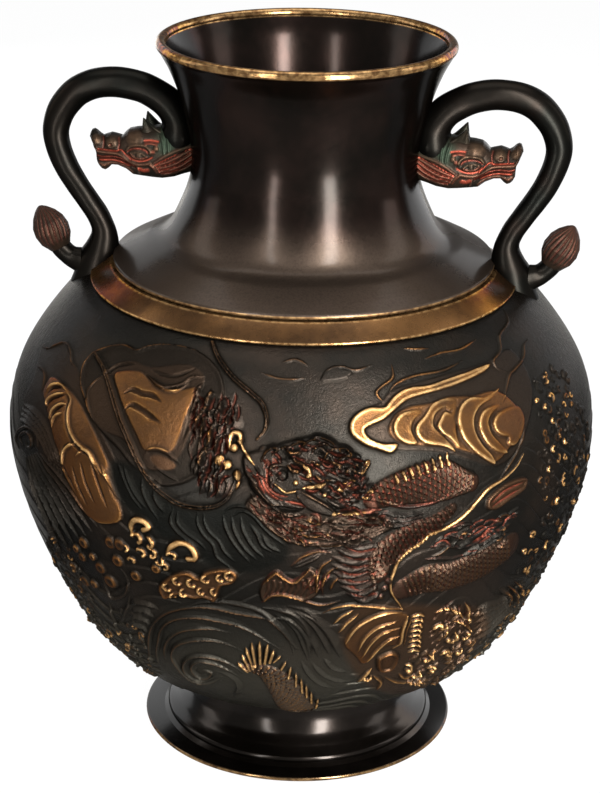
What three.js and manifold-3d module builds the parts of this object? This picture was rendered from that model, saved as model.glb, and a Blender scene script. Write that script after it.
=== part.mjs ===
// A cast bronze urn: a bulging body on a spreading foot, a flaring neck on a sloping shoulder
// band, and two serpent handles, each with a dragon's head at the neck and a bud at its foot.
// Millimetres, +Z up. The origin is the middle of the face that the foot stands on.
import * as THREE from "three";
import { mergeVertices } from "three/addons/utils/BufferGeometryUtils.js";
import Module from "manifold-3d";

const wasm = await Module();
wasm.setup();

// Castings and the fits between them
const WALL = 4;
const CLEARANCE = 0.3;
const ROUND_STEPS = 44;

// Foot
const FOOT_HEIGHT = 36;
const FLANGE_RADIUS = 88.8;
const FLANGE_THICKNESS = 3;
const FLANGE_FACE_WIDTH = 8.8;
const FOOT_BEAD_RADIUS = 75;
const FOOT_BEAD_HEIGHT = 7;
const FOOT_STEM_INSET = 1;
const FOOT_REGISTER_HEIGHT = 2.4;

// Body
const BODY_HEIGHT = 232.5;
const BELLY_RADIUS = 162.4;
const BELLY_HEIGHT = 147;
const BODY_BASE_RADIUS = 62;
const BODY_BASE_RIM = 8;
const BODY_MOUTH_RADIUS = 100;
const BASE_LEDGE_HEIGHT = 3;
const BASE_LEDGE_WIDTH = 4;
const BASE_PLATE_THICKNESS = 3;

// Relief on the body
const RELIEF_SUNK = 1.6;
const DRAGON_RELIEF = 3.2;
const CLOUD_RELIEF = 2.8;
const WAVE_RELIEF = 2.4;

// Shoulder band
const BAND_HEIGHT = 9;
const BAND_SLOPE_WIDTH = 10.8;
const BAND_EDGE_HEIGHT = 1.4;
const BAND_OVERHANG = 2.3;
const COLLAR_DEPTH = 6.5;
const COLLAR_RISE = 1.4;

// Neck and mouth
const NECK_HEIGHT = 122.5;
const NECK_FOOT_WIDTH = 4.5;
const NECK_FOOT_INSET = 1.5;
const NECK_CORNER_RADIUS = 76.6;
const NECK_CORNER_HEIGHT = 16.5;
const WAIST_RADIUS = 61.6;
const WAIST_HEIGHT = 52.5;
const MOUTH_RADIUS = 80.4;
const LIP_WIDTH = 5.6;
const LIP_HEIGHT = 5.6;

// Handles, measured in the upright plane through the urn's axis
const ROOT_HEIGHT = 72.3;
const ROOT_STAND_OFF = 5.6;
const ARM_ROOT_RADIUS = 9;
const ARM_TOP_RADIUS = 8.2;
const ARM_LOW_RADIUS = 6.2;
const PAD_RADIUS = 10.8;
const STEM_RADIUS = 5.2;
const HEAD_LENGTH = 48;
const HEAD_HEIGHT = 28.4;
const HEAD_WIDTH = 21;
const BUD_LENGTH = 25.5;
const BUD_RADIUS = 10;
const BUD_FLUTES = 9;
const PEG_RADIUS = 2;
const PEG_LENGTH = 6;
const RIVET_RADIUS = 2;
const RIVET_HEAD_RADIUS = 3.6;
const RIVET_HEAD_HEIGHT = 2;
const RIVET_GRIP = 7;

// Radii where one casting fits the next
const BASE_BORE_RADIUS = BODY_BASE_RADIUS - BODY_BASE_RIM;
const BASE_SEAT_RADIUS = BASE_BORE_RADIUS + BASE_LEDGE_WIDTH;
const FOOT_STEM_RADIUS = BODY_BASE_RADIUS - FOOT_STEM_INSET;
const NECK_FOOT_RADIUS = BODY_MOUTH_RADIUS + NECK_FOOT_WIDTH;
const BAND_UPPER_RADIUS = NECK_FOOT_RADIUS + NECK_FOOT_INSET;
const BAND_LOWER_RADIUS = BAND_UPPER_RADIUS + BAND_SLOPE_WIDTH;
const BODY_TOP_RADIUS = BAND_LOWER_RADIUS - BAND_OVERHANG;

// Heights where one casting stands on the next
const BODY_Z = FOOT_HEIGHT;
const BAND_Z = BODY_Z + BODY_HEIGHT;
const NECK_Z = BAND_Z + BAND_HEIGHT;
const ROOT_Z = NECK_Z + ROOT_HEIGHT;

const at = (radius, height) => new THREE.Vector2(radius, height);

// Points along a smooth curve through a few outline points.
function smooth(points, steps) {
  const through = points.map((p) => new THREE.Vector3(p.x, p.y, 0));
  const curve = new THREE.CatmullRomCurve3(through, false, "centripetal");
  return curve.getPoints(steps).map((p) => at(p.x, p.y));
}

// An outline that climbs with the metal on its left, moved in by a distance (out if negative).
function movedIn(outline, distance) {
  return outline.map((p, i) => {
    const before = outline[Math.max(i - 1, 0)];
    const after = outline[Math.min(i + 1, outline.length - 1)];
    const along = after.clone().sub(before).normalize();
    return at(p.x - distance * along.y, p.y + distance * along.x);
  });
}

// The point of an outline at a height, searched from its top, and the way out of the metal there.
function spotAt(outline, height) {
  for (let i = outline.length - 1; i > 0; i--) {
    const [low, high] = [outline[i - 1], outline[i]];
    if (low.y > height || high.y < height) continue;
    const along = high.clone().sub(low);
    const point = low.clone().addScaledVector(along, (height - low.y) / along.y);
    along.normalize();
    return { point, out: at(along.y, -along.x) };
  }
  throw new Error("no outline point at height " + height);
}

// A geometry as a solid that can be joined and cut.
function solidFrom(geometry) {
  geometry.deleteAttribute("normal");
  geometry.deleteAttribute("uv");
  const merged = mergeVertices(geometry, 1e-4);
  const corners = merged.index.array;
  const kept = [];
  for (let i = 0; i < corners.length; i += 3) {
    const [a, b, c] = corners.subarray(i, i + 3);
    if (a !== b && b !== c && c !== a) kept.push(a, b, c);
  }
  return new wasm.Manifold(
    new wasm.Mesh({
      numProp: 3,
      vertProperties: merged.attributes.position.array,
      triVerts: new Uint32Array(kept),
    }),
  );
}

// A solid turned about the urn's axis from a closed outline.
function turned(outline, steps = ROUND_STEPS) {
  const points = THREE.ShapeUtils.area(outline) < 0 ? [...outline].reverse() : [...outline];
  points.push(points[0].clone());
  return solidFrom(new THREE.LatheGeometry(points, steps).rotateX(Math.PI / 2));
}

// A solid skinned over rings of as many points each, with flat ends.
function lofted(rings) {
  const count = rings[0].length;
  const middles = [rings[0], rings[rings.length - 1]].map((ring) =>
    ring.reduce((sum, p) => sum.add(p), new THREE.Vector3()).divideScalar(count),
  );
  const index = [];
  const [first, last] = [rings.length * count, rings.length * count + 1];
  const top = (rings.length - 1) * count;
  for (let j = 0; j < count; j++) {
    const next = (j + 1) % count;
    for (let i = 0; i < rings.length - 1; i++) {
      const [a, b] = [i * count + j, i * count + next];
      index.push(a, b, b + count, a, b + count, a + count);
    }
    index.push(first, next, j, last, top + j, top + next);
  }
  const geometry = new THREE.BufferGeometry().setFromPoints([...rings.flat(), ...middles]);
  return solidFrom(geometry.setIndex(index));
}

// A round bar along a curve in the handle's plane, with a radius for each share of its length.
function bar(points, radiusAt, steps, sides = 12) {
  const path = new THREE.CatmullRomCurve3(
    points.map((p) => new THREE.Vector3(p.x, 0, p.y)),
    false,
    "centripetal",
  );
  const across = new THREE.Vector3(0, -1, 0);
  const rings = [];
  for (let i = 0; i <= steps; i++) {
    const share = i / steps;
    const middle = path.getPointAt(share);
    const along = path.getTangentAt(share);
    const side = new THREE.Vector3(-along.z, 0, along.x);
    const ring = [];
    for (let j = 0; j < sides; j++) {
      const turn = (2 * Math.PI * j) / sides;
      ring.push(
        middle
          .clone()
          .addScaledVector(side, radiusAt(share) * Math.cos(turn))
          .addScaledVector(across, radiusAt(share) * Math.sin(turn)),
      );
    }
    rings.push(ring);
  }
  return lofted(rings);
}

// A plain rod from a point in the handle's plane, along a direction in that plane.
function rod(from, direction, length, radius) {
  const to = from.clone().addScaledVector(direction, length);
  return bar([from, from.clone().lerp(to, 0.5), to], () => radius, 1, 10);
}

// Outlines of the outer faces, each climbing from its lower edge
const bodyOuter = smooth(
  [
    at(BODY_BASE_RADIUS, BODY_Z),
    at(BODY_BASE_RADIUS + 14, BODY_Z + 4.6),
    at(BODY_BASE_RADIUS + 43, BODY_Z + 20),
    at(BELLY_RADIUS - 36, BODY_Z + BELLY_HEIGHT - 103),
    at(BELLY_RADIUS - 8.3, BODY_Z + BELLY_HEIGHT - 43),
    at(BELLY_RADIUS, BODY_Z + BELLY_HEIGHT),
    at(BELLY_RADIUS - 5.8, BODY_Z + BELLY_HEIGHT + 37),
    at(BODY_TOP_RADIUS + 18.2, BAND_Z - 12.5),
    at(BODY_TOP_RADIUS + 8, BAND_Z - 3.8),
    at(BODY_TOP_RADIUS, BAND_Z),
  ],
  18,
);

const bandOuter = [
  at(BAND_LOWER_RADIUS, BAND_Z),
  at(BAND_LOWER_RADIUS, BAND_Z + BAND_EDGE_HEIGHT),
  at(BAND_UPPER_RADIUS, NECK_Z),
];

const MOUTH_Z = NECK_Z + NECK_HEIGHT;
const neckOuter = [
  at(NECK_FOOT_RADIUS - 0.8, NECK_Z),
  at(NECK_FOOT_RADIUS, NECK_Z + 1.4),
  at(NECK_FOOT_RADIUS - 1.5, NECK_Z + 3.6),
  ...smooth(
    [
      at(NECK_FOOT_RADIUS - 6.7, NECK_Z + 6.3),
      at(NECK_CORNER_RADIUS + 10.5, NECK_Z + NECK_CORNER_HEIGHT - 5),
      at(NECK_CORNER_RADIUS, NECK_Z + NECK_CORNER_HEIGHT),
      at(WAIST_RADIUS + 7.4, NECK_Z + WAIST_HEIGHT - 23.5),
      at(WAIST_RADIUS, NECK_Z + WAIST_HEIGHT),
      at(WAIST_RADIUS + 5.3, NECK_Z + WAIST_HEIGHT + 36),
      at(MOUTH_RADIUS - 7.1, MOUTH_Z - 16),
      at(MOUTH_RADIUS - 1.6, MOUTH_Z - LIP_HEIGHT),
    ],
    14,
  ),
  at(MOUTH_RADIUS, MOUTH_Z - 0.6 * LIP_HEIGHT),
  at(MOUTH_RADIUS, MOUTH_Z - 0.3 * LIP_HEIGHT),
  at(MOUTH_RADIUS - 0.25 * LIP_WIDTH, MOUTH_Z),
];

const footOuter = [
  at(FLANGE_RADIUS, 0),
  at(FLANGE_RADIUS, FLANGE_THICKNESS - 0.8),
  at(FLANGE_RADIUS - 0.8, FLANGE_THICKNESS),
  at(FOOT_BEAD_RADIUS, FLANGE_THICKNESS + 0.8),
  at(FOOT_BEAD_RADIUS + 1, FOOT_BEAD_HEIGHT - 1.5),
  at(FOOT_BEAD_RADIUS, FOOT_BEAD_HEIGHT + 1.2),
  ...smooth(
    [
      at(FOOT_STEM_RADIUS + 9.5, FOOT_BEAD_HEIGHT + 4),
      at(FOOT_STEM_RADIUS + 3, FOOT_BEAD_HEIGHT + 11),
      at(FOOT_STEM_RADIUS, FOOT_HEIGHT - 8),
      at(BODY_BASE_RADIUS, FOOT_HEIGHT),
    ],
    5,
  ),
];

// The foot: a spreading ring, hollow underneath, with a low register that enters the body's base
function footRing() {
  const registerRadius = BASE_BORE_RADIUS - CLEARANCE;
  const outline = [
    ...footOuter,
    at(registerRadius, FOOT_HEIGHT),
    at(registerRadius, FOOT_HEIGHT + FOOT_REGISTER_HEIGHT),
    at(registerRadius - WALL, FOOT_HEIGHT + FOOT_REGISTER_HEIGHT),
    at(registerRadius - WALL, FOOT_HEIGHT - WALL),
    at(FOOT_STEM_RADIUS - WALL, FOOT_HEIGHT - 11),
    at(FOOT_STEM_RADIUS - WALL + 8, FOOT_BEAD_HEIGHT + 5),
    at(FLANGE_RADIUS - FLANGE_FACE_WIDTH, FLANGE_THICKNESS - 1),
    at(FLANGE_RADIUS - FLANGE_FACE_WIDTH, 0),
  ];
  return turned(outline);
}

// The main forms of the relief, each a width in millimetres, how far it stands proud, and its
// places as degrees round from the front and millimetres above the foot's face
const reliefForms = [
  // The dragon's head, its jaw and mane, its fins, its scaled body in three stretches, and its tail
  [32, DRAGON_RELIEF, [[-6, 217], [3, 213], [12, 214]]],
  [15, DRAGON_RELIEF, [[-3, 197], [3, 188], [11, 187], [20, 190]]],
  [17, WAVE_RELIEF, [[11, 175], [11, 162], [15, 149]]],
  [20, DRAGON_RELIEF, [[16, 206], [24, 209], [33, 204]]],
  [15, DRAGON_RELIEF, [[32, 194], [26, 185], [20, 172], [18, 157]]],
  [23, DRAGON_RELIEF, [[22, 148], [31, 154], [46, 159]]],
  [15, DRAGON_RELIEF, [[-5, 98], [0, 87], [6, 66]]],
  // The dragon's whiskers
  [5, WAVE_RELIEF, [[-45, 250], [-34, 231], [-24, 206], [-14, 197], [-8, 206]]],
  // Clouds on the left, one on the shoulder and two below it
  [9, CLOUD_RELIEF, [[-48, 246], [-41, 256], [-30, 259], [-21, 259]]],
  [15, CLOUD_RELIEF, [[-54, 232], [-51, 213], [-44, 194], [-36, 175]]],
  [24, CLOUD_RELIEF, [[-35, 243], [-28, 238], [-23, 226]]],
  // The cloud on the right, and its rim
  [26, CLOUD_RELIEF, [[22, 231], [34, 230], [48, 226]]],
  [9, CLOUD_RELIEF, [[15, 233], [20, 244], [32, 251], [47, 251]]],
  // Waves from the left to the middle
  [17, WAVE_RELIEF, [[-57, 186], [-49, 173], [-42, 159]]],
  [15, WAVE_RELIEF, [[-29, 203], [-22, 190], [-14, 180], [-4, 170]]],
  // Foam on the left, a small cloud and a claw beside it
  [13, WAVE_RELIEF, [[-53, 143], [-46, 118], [-43, 90], [-41, 62]]],
  [15, WAVE_RELIEF, [[-35, 160], [-27, 166], [-18, 170]]],
  [12, CLOUD_RELIEF, [[-24, 142], [-17, 150], [-8, 157]]],
  [12, WAVE_RELIEF, [[-3, 152], [2, 155], [7, 158]]],
  // The whirlpool's outer and inner turns
  [9, WAVE_RELIEF, [[-31, 92], [-26, 117], [-16, 132], [-7, 132], [0, 119]]],
  [7, WAVE_RELIEF, [[-27, 82], [-20, 73], [-11, 82], [-12, 97], [-21, 101]]],
  // A shell, a wave and foam on the right
  [14, CLOUD_RELIEF, [[15, 112], [18, 124], [25, 129]]],
  [15, WAVE_RELIEF, [[42, 105], [49, 118], [57, 124]]],
  [12, WAVE_RELIEF, [[59, 190], [59, 158], [60, 125]]],
];

// The point that stands off the body's face at a turn from the front and a height
function onBody(turn, height, off) {
  const { point, out } = spotAt(bodyOuter, height);
  const radius = point.x + off * out.x;
  const angle = THREE.MathUtils.degToRad(turn);
  return new THREE.Vector3(radius * Math.sin(angle), -radius * Math.cos(angle), point.y + off * out.y);
}

// A form's section, from one edge to the other: shares of its width and of its height, where
// null stands for the edge that is sunk in the body's face
const reliefSection = [
  [0.5, null],
  [0.44, 0.6],
  [0.26, 1],
  [-0.26, 1],
  [-0.44, 0.6],
  [-0.5, null],
];

// A low bar on the body's face, drawn in at both its ends
function reliefForm(width, proud, places) {
  const path = smooth(places.map(([turn, height]) => at(turn, height)), 2 * (places.length - 1));
  const rings = path.map((place, i) => {
    const { point, out } = spotAt(bodyOuter, place.y);
    const span = path[Math.min(i + 1, path.length - 1)].clone().sub(path[Math.max(i - 1, 0)]);
    const along = at(THREE.MathUtils.degToRad(span.x) * point.x, span.y / out.x).normalize();
    const drawnIn = i === 0 || i === path.length - 1 ? 0.6 : 1;
    return reliefSection.map(([aside, share]) => {
      const across = width * drawnIn * aside;
      const turn = place.x - THREE.MathUtils.radToDeg((across * along.y) / point.x);
      const height = place.y + across * along.x * out.x;
      return onBody(turn, height, share === null ? -RELIEF_SUNK : proud * drawnIn * share);
    });
  });
  return lofted(rings);
}

// The body: a bulging shell with a bored base, a ledge for the base plate and an open mouth
const everySecond = (p, i) => i % 2 === 0;
const FLANGE_UNDER_Z = BAND_Z - WALL;
function bodyShell() {
  const ledgeZ = BODY_Z + BASE_LEDGE_HEIGHT;
  const recessZ = ledgeZ + BASE_PLATE_THICKNESS + CLEARANCE;
  const inner = movedIn(bodyOuter, WALL);
  const wall = inner.filter(everySecond).filter((p) => p.y > recessZ + 1 && p.y < FLANGE_UNDER_Z - 1);
  return turned([
    ...bodyOuter,
    at(BODY_MOUTH_RADIUS, BAND_Z),
    at(BODY_MOUTH_RADIUS, FLANGE_UNDER_Z),
    spotAt(inner, FLANGE_UNDER_Z).point,
    ...wall.reverse(),
    at(BASE_SEAT_RADIUS, recessZ),
    at(BASE_SEAT_RADIUS, ledgeZ),
    at(BASE_BORE_RADIUS, ledgeZ),
    at(BASE_BORE_RADIUS, BODY_Z),
  ]);
}

// The disc that closes the body's base from inside
function basePlate() {
  const low = BODY_Z + BASE_LEDGE_HEIGHT;
  const high = low + BASE_PLATE_THICKNESS;
  const radius = BASE_SEAT_RADIUS - CLEARANCE;
  return turned([at(0, low), at(radius, low), at(radius, high), at(0, high)]);
}

// The sloping band between the body's mouth and the neck. Its collar enters both of them.
function shoulderBand() {
  const collarRadius = BODY_MOUTH_RADIUS - CLEARANCE;
  return turned([
    ...bandOuter,
    at(collarRadius, NECK_Z),
    at(collarRadius, NECK_Z + COLLAR_RISE),
    at(collarRadius - WALL, NECK_Z + COLLAR_RISE),
    at(collarRadius - WALL, BAND_Z - COLLAR_DEPTH),
    at(collarRadius, BAND_Z - COLLAR_DEPTH),
    at(collarRadius, BAND_Z),
  ]);
}

// The neck is cast in two, with a flat joint where its slope turns up into the waist
const JOINT_Z = NECK_Z + NECK_CORNER_HEIGHT;
const neckInner = [
  ...movedIn(neckOuter.slice(3, -3), WALL).filter(everySecond),
  at(MOUTH_RADIUS - LIP_WIDTH, MOUTH_Z - LIP_HEIGHT),
];
const jointOuter = spotAt(neckOuter, JOINT_Z).point;
const jointInner = spotAt(neckInner, JOINT_Z).point;
const underJoint = (p) => p.y < JOINT_Z - 0.5;
const overJoint = (p) => p.y > JOINT_Z + 0.5;

// The neck's lower casting: a shallow slope up to the joint, bored at its foot for the collar
function neckSlope() {
  return turned([
    ...neckOuter.filter(underJoint),
    jointOuter,
    jointInner,
    ...neckInner.filter(underJoint).reverse(),
    at(BODY_MOUTH_RADIUS, NECK_Z + COLLAR_RISE + CLEARANCE),
    at(BODY_MOUTH_RADIUS, NECK_Z),
  ]);
}

// The neck's upper casting: a narrow waist and a flaring mouth with a rolled lip
function neckAndMouth() {
  return turned([
    jointOuter,
    ...neckOuter.filter(overJoint),
    at(MOUTH_RADIUS - 0.75 * LIP_WIDTH, MOUTH_Z),
    at(MOUTH_RADIUS - LIP_WIDTH, MOUTH_Z - 0.3 * LIP_HEIGHT),
    ...neckInner.filter(overJoint).reverse(),
    jointInner,
  ]);
}

// Everything that a handle has to stay clear of, filled in to the axis
function envelope() {
  const filled = (outline) => {
    const skin = movedIn(outline, -CLEARANCE);
    return turned([...skin, at(0, skin[skin.length - 1].y), at(0, skin[0].y)]);
  };
  return filled(bodyOuter).add(filled(bandOuter)).add(filled(neckOuter));
}

// Where a handle's arm starts on the neck and where it stands on the shoulder
const neckAtRoot = spotAt(neckOuter, ROOT_Z);
const root = at(neckAtRoot.point.x + ROOT_STAND_OFF, ROOT_Z);
const pad = at(BAND_LOWER_RADIUS + 0.7, BAND_Z + 0.5);

// The handle is drawn in shares of its rise from the pad to the root.
const rise = root.y - pad.y;
const fromRoot = (out, up) => at(root.x + out * rise, root.y + up * rise);
const fromPad = (out, up) => at(pad.x + out * rise, pad.y + up * rise);

const armPath = [
  fromRoot(0, -0.21),
  fromRoot(-0.007, -0.087),
  fromRoot(0.005, 0.057),
  fromRoot(0.072, 0.156),
  fromRoot(0.199, 0.236),
  fromRoot(0.285, 0.265),
  fromRoot(0.413, 0.285),
  fromRoot(0.562, 0.267),
  fromRoot(0.672, 0.218),
  fromRoot(0.734, 0.16),
  fromPad(0.197, 1.062),
  fromPad(0.23, 0.941),
  fromPad(0.215, 0.832),
  fromPad(0.161, 0.688),
  fromPad(0.095, 0.575),
  fromPad(0.014, 0.452),
  fromPad(-0.052, 0.347),
  fromPad(-0.084, 0.248),
  fromPad(-0.068, 0.13),
  fromPad(-0.012, 0.006),
  fromPad(0.037, -0.099),
];

// The arm's radius: stout at the root and along the top, slimmer below, spread at the pad
function armRadius(share) {
  const step = THREE.MathUtils.smoothstep;
  const thinned = THREE.MathUtils.lerp(ARM_TOP_RADIUS, ARM_LOW_RADIUS, step(share, 0.35, 0.75));
  const rooted = THREE.MathUtils.lerp(ARM_ROOT_RADIUS, thinned, step(share, 0.1, 0.25));
  return THREE.MathUtils.lerp(rooted, PAD_RADIUS, step(share, 0.83, 0.97));
}

// The bud's axis, and the stem that carries it outwards from the pad
const budBase = fromPad(0.216, 0.122);
const budDirection = at(0.45, 0.893).normalize();
const pastBudBase = budBase.clone().addScaledVector(budDirection, STEM_RADIUS);
const stemPath = [fromPad(0, 0.01), fromPad(0.08, 0.038), fromPad(0.155, 0.062), budBase, pastBudBase];

// The dragon's head leaves the arm's root: its stations run outwards along X, in shares of the
// head's length, with heights in shares of its height
const HEAD_PEG_HEIGHT = -0.46 * HEAD_HEIGHT;
const skull = [
  { out: 0.02, top: -0.02, bottom: -0.95, width: 0.7 },
  { out: 0.15, top: 0.02, bottom: -0.93, width: 0.92 },
  { out: 0.29, top: 0, bottom: -0.85, width: 1 },
  { out: 0.44, top: -0.035, bottom: -0.7, width: 1 },
  { out: 0.56, top: -0.07, bottom: -0.63, width: 0.9 },
  { out: 0.66, top: -0.19, bottom: -0.6, width: 0.74 },
  { out: 0.77, top: -0.16, bottom: -0.58, width: 0.66 },
  { out: 0.85, top: -0.22, bottom: -0.56, width: 0.6 },
  { out: 0.95, top: -0.11, bottom: -0.54, width: 0.5 },
  { out: 1, top: -0.23, bottom: -0.44, width: 0.34 },
];
const jaw = [
  { out: 0.1, top: -0.63, bottom: -0.95, width: 0.6 },
  { out: 0.27, top: -0.63, bottom: -1, width: 0.74 },
  { out: 0.46, top: -0.63, bottom: -0.97, width: 0.74 },
  { out: 0.61, top: -0.655, bottom: -0.85, width: 0.6 },
  { out: 0.77, top: -0.64, bottom: -0.8, width: 0.52 },
  { out: 0.85, top: -0.65, bottom: -0.9, width: 0.42 },
  { out: 0.925, top: -0.66, bottom: -0.78, width: 0.26 },
];

// A head casting from stations, each an oval that stands square to the head's length
function stationed(stations, sides = 14) {
  const rings = stations.map(({ out, top, bottom, width }) => {
    const [middle, tall] = [(top + bottom) / 2, (top - bottom) / 2];
    const ring = [];
    for (let j = 0; j < sides; j++) {
      const turn = (2 * Math.PI * (j + 0.5)) / sides;
      const across = 0.5 * HEAD_WIDTH * width * Math.cos(turn);
      const height = HEAD_HEIGHT * (middle + tall * Math.sin(turn));
      ring.push(new THREE.Vector3(root.x + HEAD_LENGTH * out, across, root.y + height));
    }
    return ring;
  });
  return lofted(rings);
}

// A backswept ear beside the crown, in shares of the head's length, height and width
function ear(sideways) {
  const stations = [
    { out: 0.33, up: -0.14, apart: 0.26, long: 0.088, thick: 0.115 },
    { out: 0.31, up: 0.055, apart: 0.31, long: 0.063, thick: 0.085 },
    { out: 0.28, up: 0.18, apart: 0.36, long: 0.017, thick: 0.033 },
  ];
  const rings = stations.map(({ out, up, apart, long, thick }) => {
    const ring = [];
    for (let j = 0; j < 8; j++) {
      const turn = (2 * Math.PI * j) / 8;
      const x = root.x + HEAD_LENGTH * (out + long * Math.cos(turn));
      const y = HEAD_WIDTH * (sideways * apart + thick * Math.sin(turn));
      ring.push(new THREE.Vector3(x, y, root.y + HEAD_HEIGHT * up));
    }
    return ring;
  });
  return lofted(rings);
}

// A fluted bud that swells from its base and closes to a blunt tip
function bud() {
  const sides = 3 * BUD_FLUTES;
  const swell = [
    [0, 0.52],
    [0.08, 0.6],
    [0.22, 0.86],
    [0.42, 1],
    [0.62, 0.88],
    [0.8, 0.6],
    [0.93, 0.28],
    [1, 0.08],
  ];
  const rings = swell.map(([share, wide]) => {
    const middle = budBase.clone().addScaledVector(budDirection, share * BUD_LENGTH);
    const depth = 0.09 * Math.sin(Math.PI * Math.min(1, 1.15 * share));
    const ring = [];
    for (let j = 0; j < sides; j++) {
      const turn = (2 * Math.PI * j) / sides;
      const radius = BUD_RADIUS * wide * (1 - Math.max(0, depth) * (0.5 + 0.5 * Math.cos(BUD_FLUTES * turn)));
      const side = radius * Math.cos(turn);
      ring.push(
        new THREE.Vector3(
          middle.x - side * budDirection.y,
          -radius * Math.sin(turn),
          middle.y + side * budDirection.x,
        ),
      );
    }
    return ring;
  });
  return lofted(rings);
}

// A rivet from inside a wall into a handle: a domed head, and a shank through the metal between
function rivet(seat, direction, through) {
  const low = seat.clone().addScaledVector(direction, -RIVET_HEAD_HEIGHT);
  const half = low.clone().lerp(seat, 0.5);
  const dome = (share) => RIVET_HEAD_RADIUS * Math.sqrt(1 - 0.75 * (1 - share) ** 2);
  return bar([low, half, seat], dome, 2, 10).add(
    rod(half, direction, 0.5 * RIVET_HEAD_HEIGHT + through + RIVET_GRIP, RIVET_RADIUS),
  );
}

// The hole for a rivet, through the metal between and blind in the handle
function rivetBore(seat, direction, through) {
  const start = seat.clone().addScaledVector(direction, -WALL);
  return rod(start, direction, WALL + through + RIVET_GRIP + CLEARANCE, RIVET_RADIUS + CLEARANCE);
}

// Rivet seats: on the neck's inner face behind the root, and under the body's flange at the pad
const NECK_RIVET_DROP = 6;
const neckSpot = spotAt(neckInner, ROOT_Z - NECK_RIVET_DROP);
const neckSeat = neckSpot.point.clone().addScaledVector(neckSpot.out, -CLEARANCE);
const neckRivet = [neckSeat, neckSpot.out, WALL + CLEARANCE];
const SHOULDER_RIVET_INSET = 4;
const upwards = at(0, 1);
const shoulderSeat = at(BODY_TOP_RADIUS - SHOULDER_RIVET_INSET, FLANGE_UNDER_Z - CLEARANCE);
const shoulderRivet = [shoulderSeat, upwards, WALL + CLEARANCE + BAND_HEIGHT];

// Both handles are alike, so one set of solids serves the right side, and turned half round the left
const keepOut = envelope();
const neckBore = rivetBore(...neckRivet);
const shoulderBore = rivetBore(...shoulderRivet);
const headPegSeat = at(root.x + 1, root.y + HEAD_PEG_HEIGHT);
const outwards = at(1, 0);
const budPegSeat = budBase.clone().addScaledVector(budDirection, -PEG_LENGTH);

const arm = bar(armPath, armRadius, 28)
  .add(bar(stemPath, (share) => THREE.MathUtils.lerp(6.4, STEM_RADIUS, share), 6))
  .subtract(rod(budBase, budDirection, 2 * STEM_RADIUS, 2 * STEM_RADIUS))
  .subtract(keepOut)
  .subtract(neckBore)
  .subtract(shoulderBore)
  .subtract(rod(headPegSeat, outwards, 3 * PEG_LENGTH, PEG_RADIUS + CLEARANCE))
  .subtract(
    rod(
      budPegSeat.clone().addScaledVector(budDirection, -CLEARANCE),
      budDirection,
      2 * PEG_LENGTH,
      PEG_RADIUS + CLEARANCE,
    ),
  );

const armClear = bar(armPath, (share) => armRadius(share) + CLEARANCE, 28);
const head = stationed(skull)
  .add(stationed(jaw))
  .add(ear(1))
  .add(ear(-1))
  .subtract(armClear)
  .subtract(keepOut)
  .add(rod(headPegSeat.clone().addScaledVector(outwards, CLEARANCE), outwards, 3 * PEG_LENGTH, PEG_RADIUS));

const budGap = budDirection.clone().multiplyScalar(CLEARANCE);
const tuft = bud()
  .translate([budGap.x, 0, budGap.y])
  .add(rod(budPegSeat, budDirection, 2 * PEG_LENGTH, PEG_RADIUS));

// Colours of the patina
const DARK_BRONZE = { color: 0x1d1815, roughness: 0.32, metalness: 0.75 };
const WORN_BRONZE = { color: 0x5a4022, roughness: 0.35, metalness: 0.85 };
const RED_BRONZE = { color: 0x4a241a, roughness: 0.45, metalness: 0.6 };

const urn = new THREE.Group();

// Adds a solid to the urn as a mesh with its own material.
function place(name, solid, finish, turn = 0) {
  const { numProp, vertProperties, triVerts } = solid.getMesh();
  const positions = new Float32Array((vertProperties.length / numProp) * 3);
  for (let i = 0; i * numProp < vertProperties.length; i++) {
    positions.set(vertProperties.subarray(i * numProp, i * numProp + 3), i * 3);
  }
  const geometry = new THREE.BufferGeometry();
  geometry.setAttribute("position", new THREE.BufferAttribute(positions, 3));
  geometry.setIndex(new THREE.BufferAttribute(triVerts, 1));
  geometry.computeVertexNormals();
  const mesh = new THREE.Mesh(geometry, new THREE.MeshStandardMaterial(finish));
  mesh.name = name;
  mesh.rotation.z = turn;
  urn.add(mesh);
}

// What is on both sides: the relief, and the holes for the rivets in the neck and the shoulder
const bothSides = (solid) => solid.add(solid.rotate([0, 0, 180]));

// The relief goes round the body twice, once in front and once behind
const relief = reliefForms.map((form) => reliefForm(...form)).reduce((all, form) => all.add(form));

place("foot_ring", footRing(), WORN_BRONZE);
place("body_shell", bodyShell().add(bothSides(relief)).subtract(bothSides(shoulderBore)), DARK_BRONZE);
place("base_plate", basePlate(), DARK_BRONZE);
place("shoulder_band", shoulderBand().subtract(bothSides(shoulderBore)), WORN_BRONZE);
place("neck_slope", neckSlope(), DARK_BRONZE);
place("neck_and_mouth", neckAndMouth().subtract(bothSides(neckBore)), DARK_BRONZE);

for (const [side, turn] of [
  ["right", 0],
  ["left", Math.PI],
]) {
  place("handle_arm_" + side, arm, DARK_BRONZE, turn);
  place("dragon_head_" + side, head, RED_BRONZE, turn);
  place("tail_tuft_" + side, tuft, RED_BRONZE, turn);
  place("neck_rivet_" + side, rivet(...neckRivet), WORN_BRONZE, turn);
  place("shoulder_rivet_" + side, rivet(...shoulderRivet), WORN_BRONZE, turn);
}

export default urn;
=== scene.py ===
"""A cast bronze urn with two serpent handles, and a dragon in waves and clouds on its body."""
import math

import bpy
import numpy as np
from mathutils import Matrix, Vector


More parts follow.
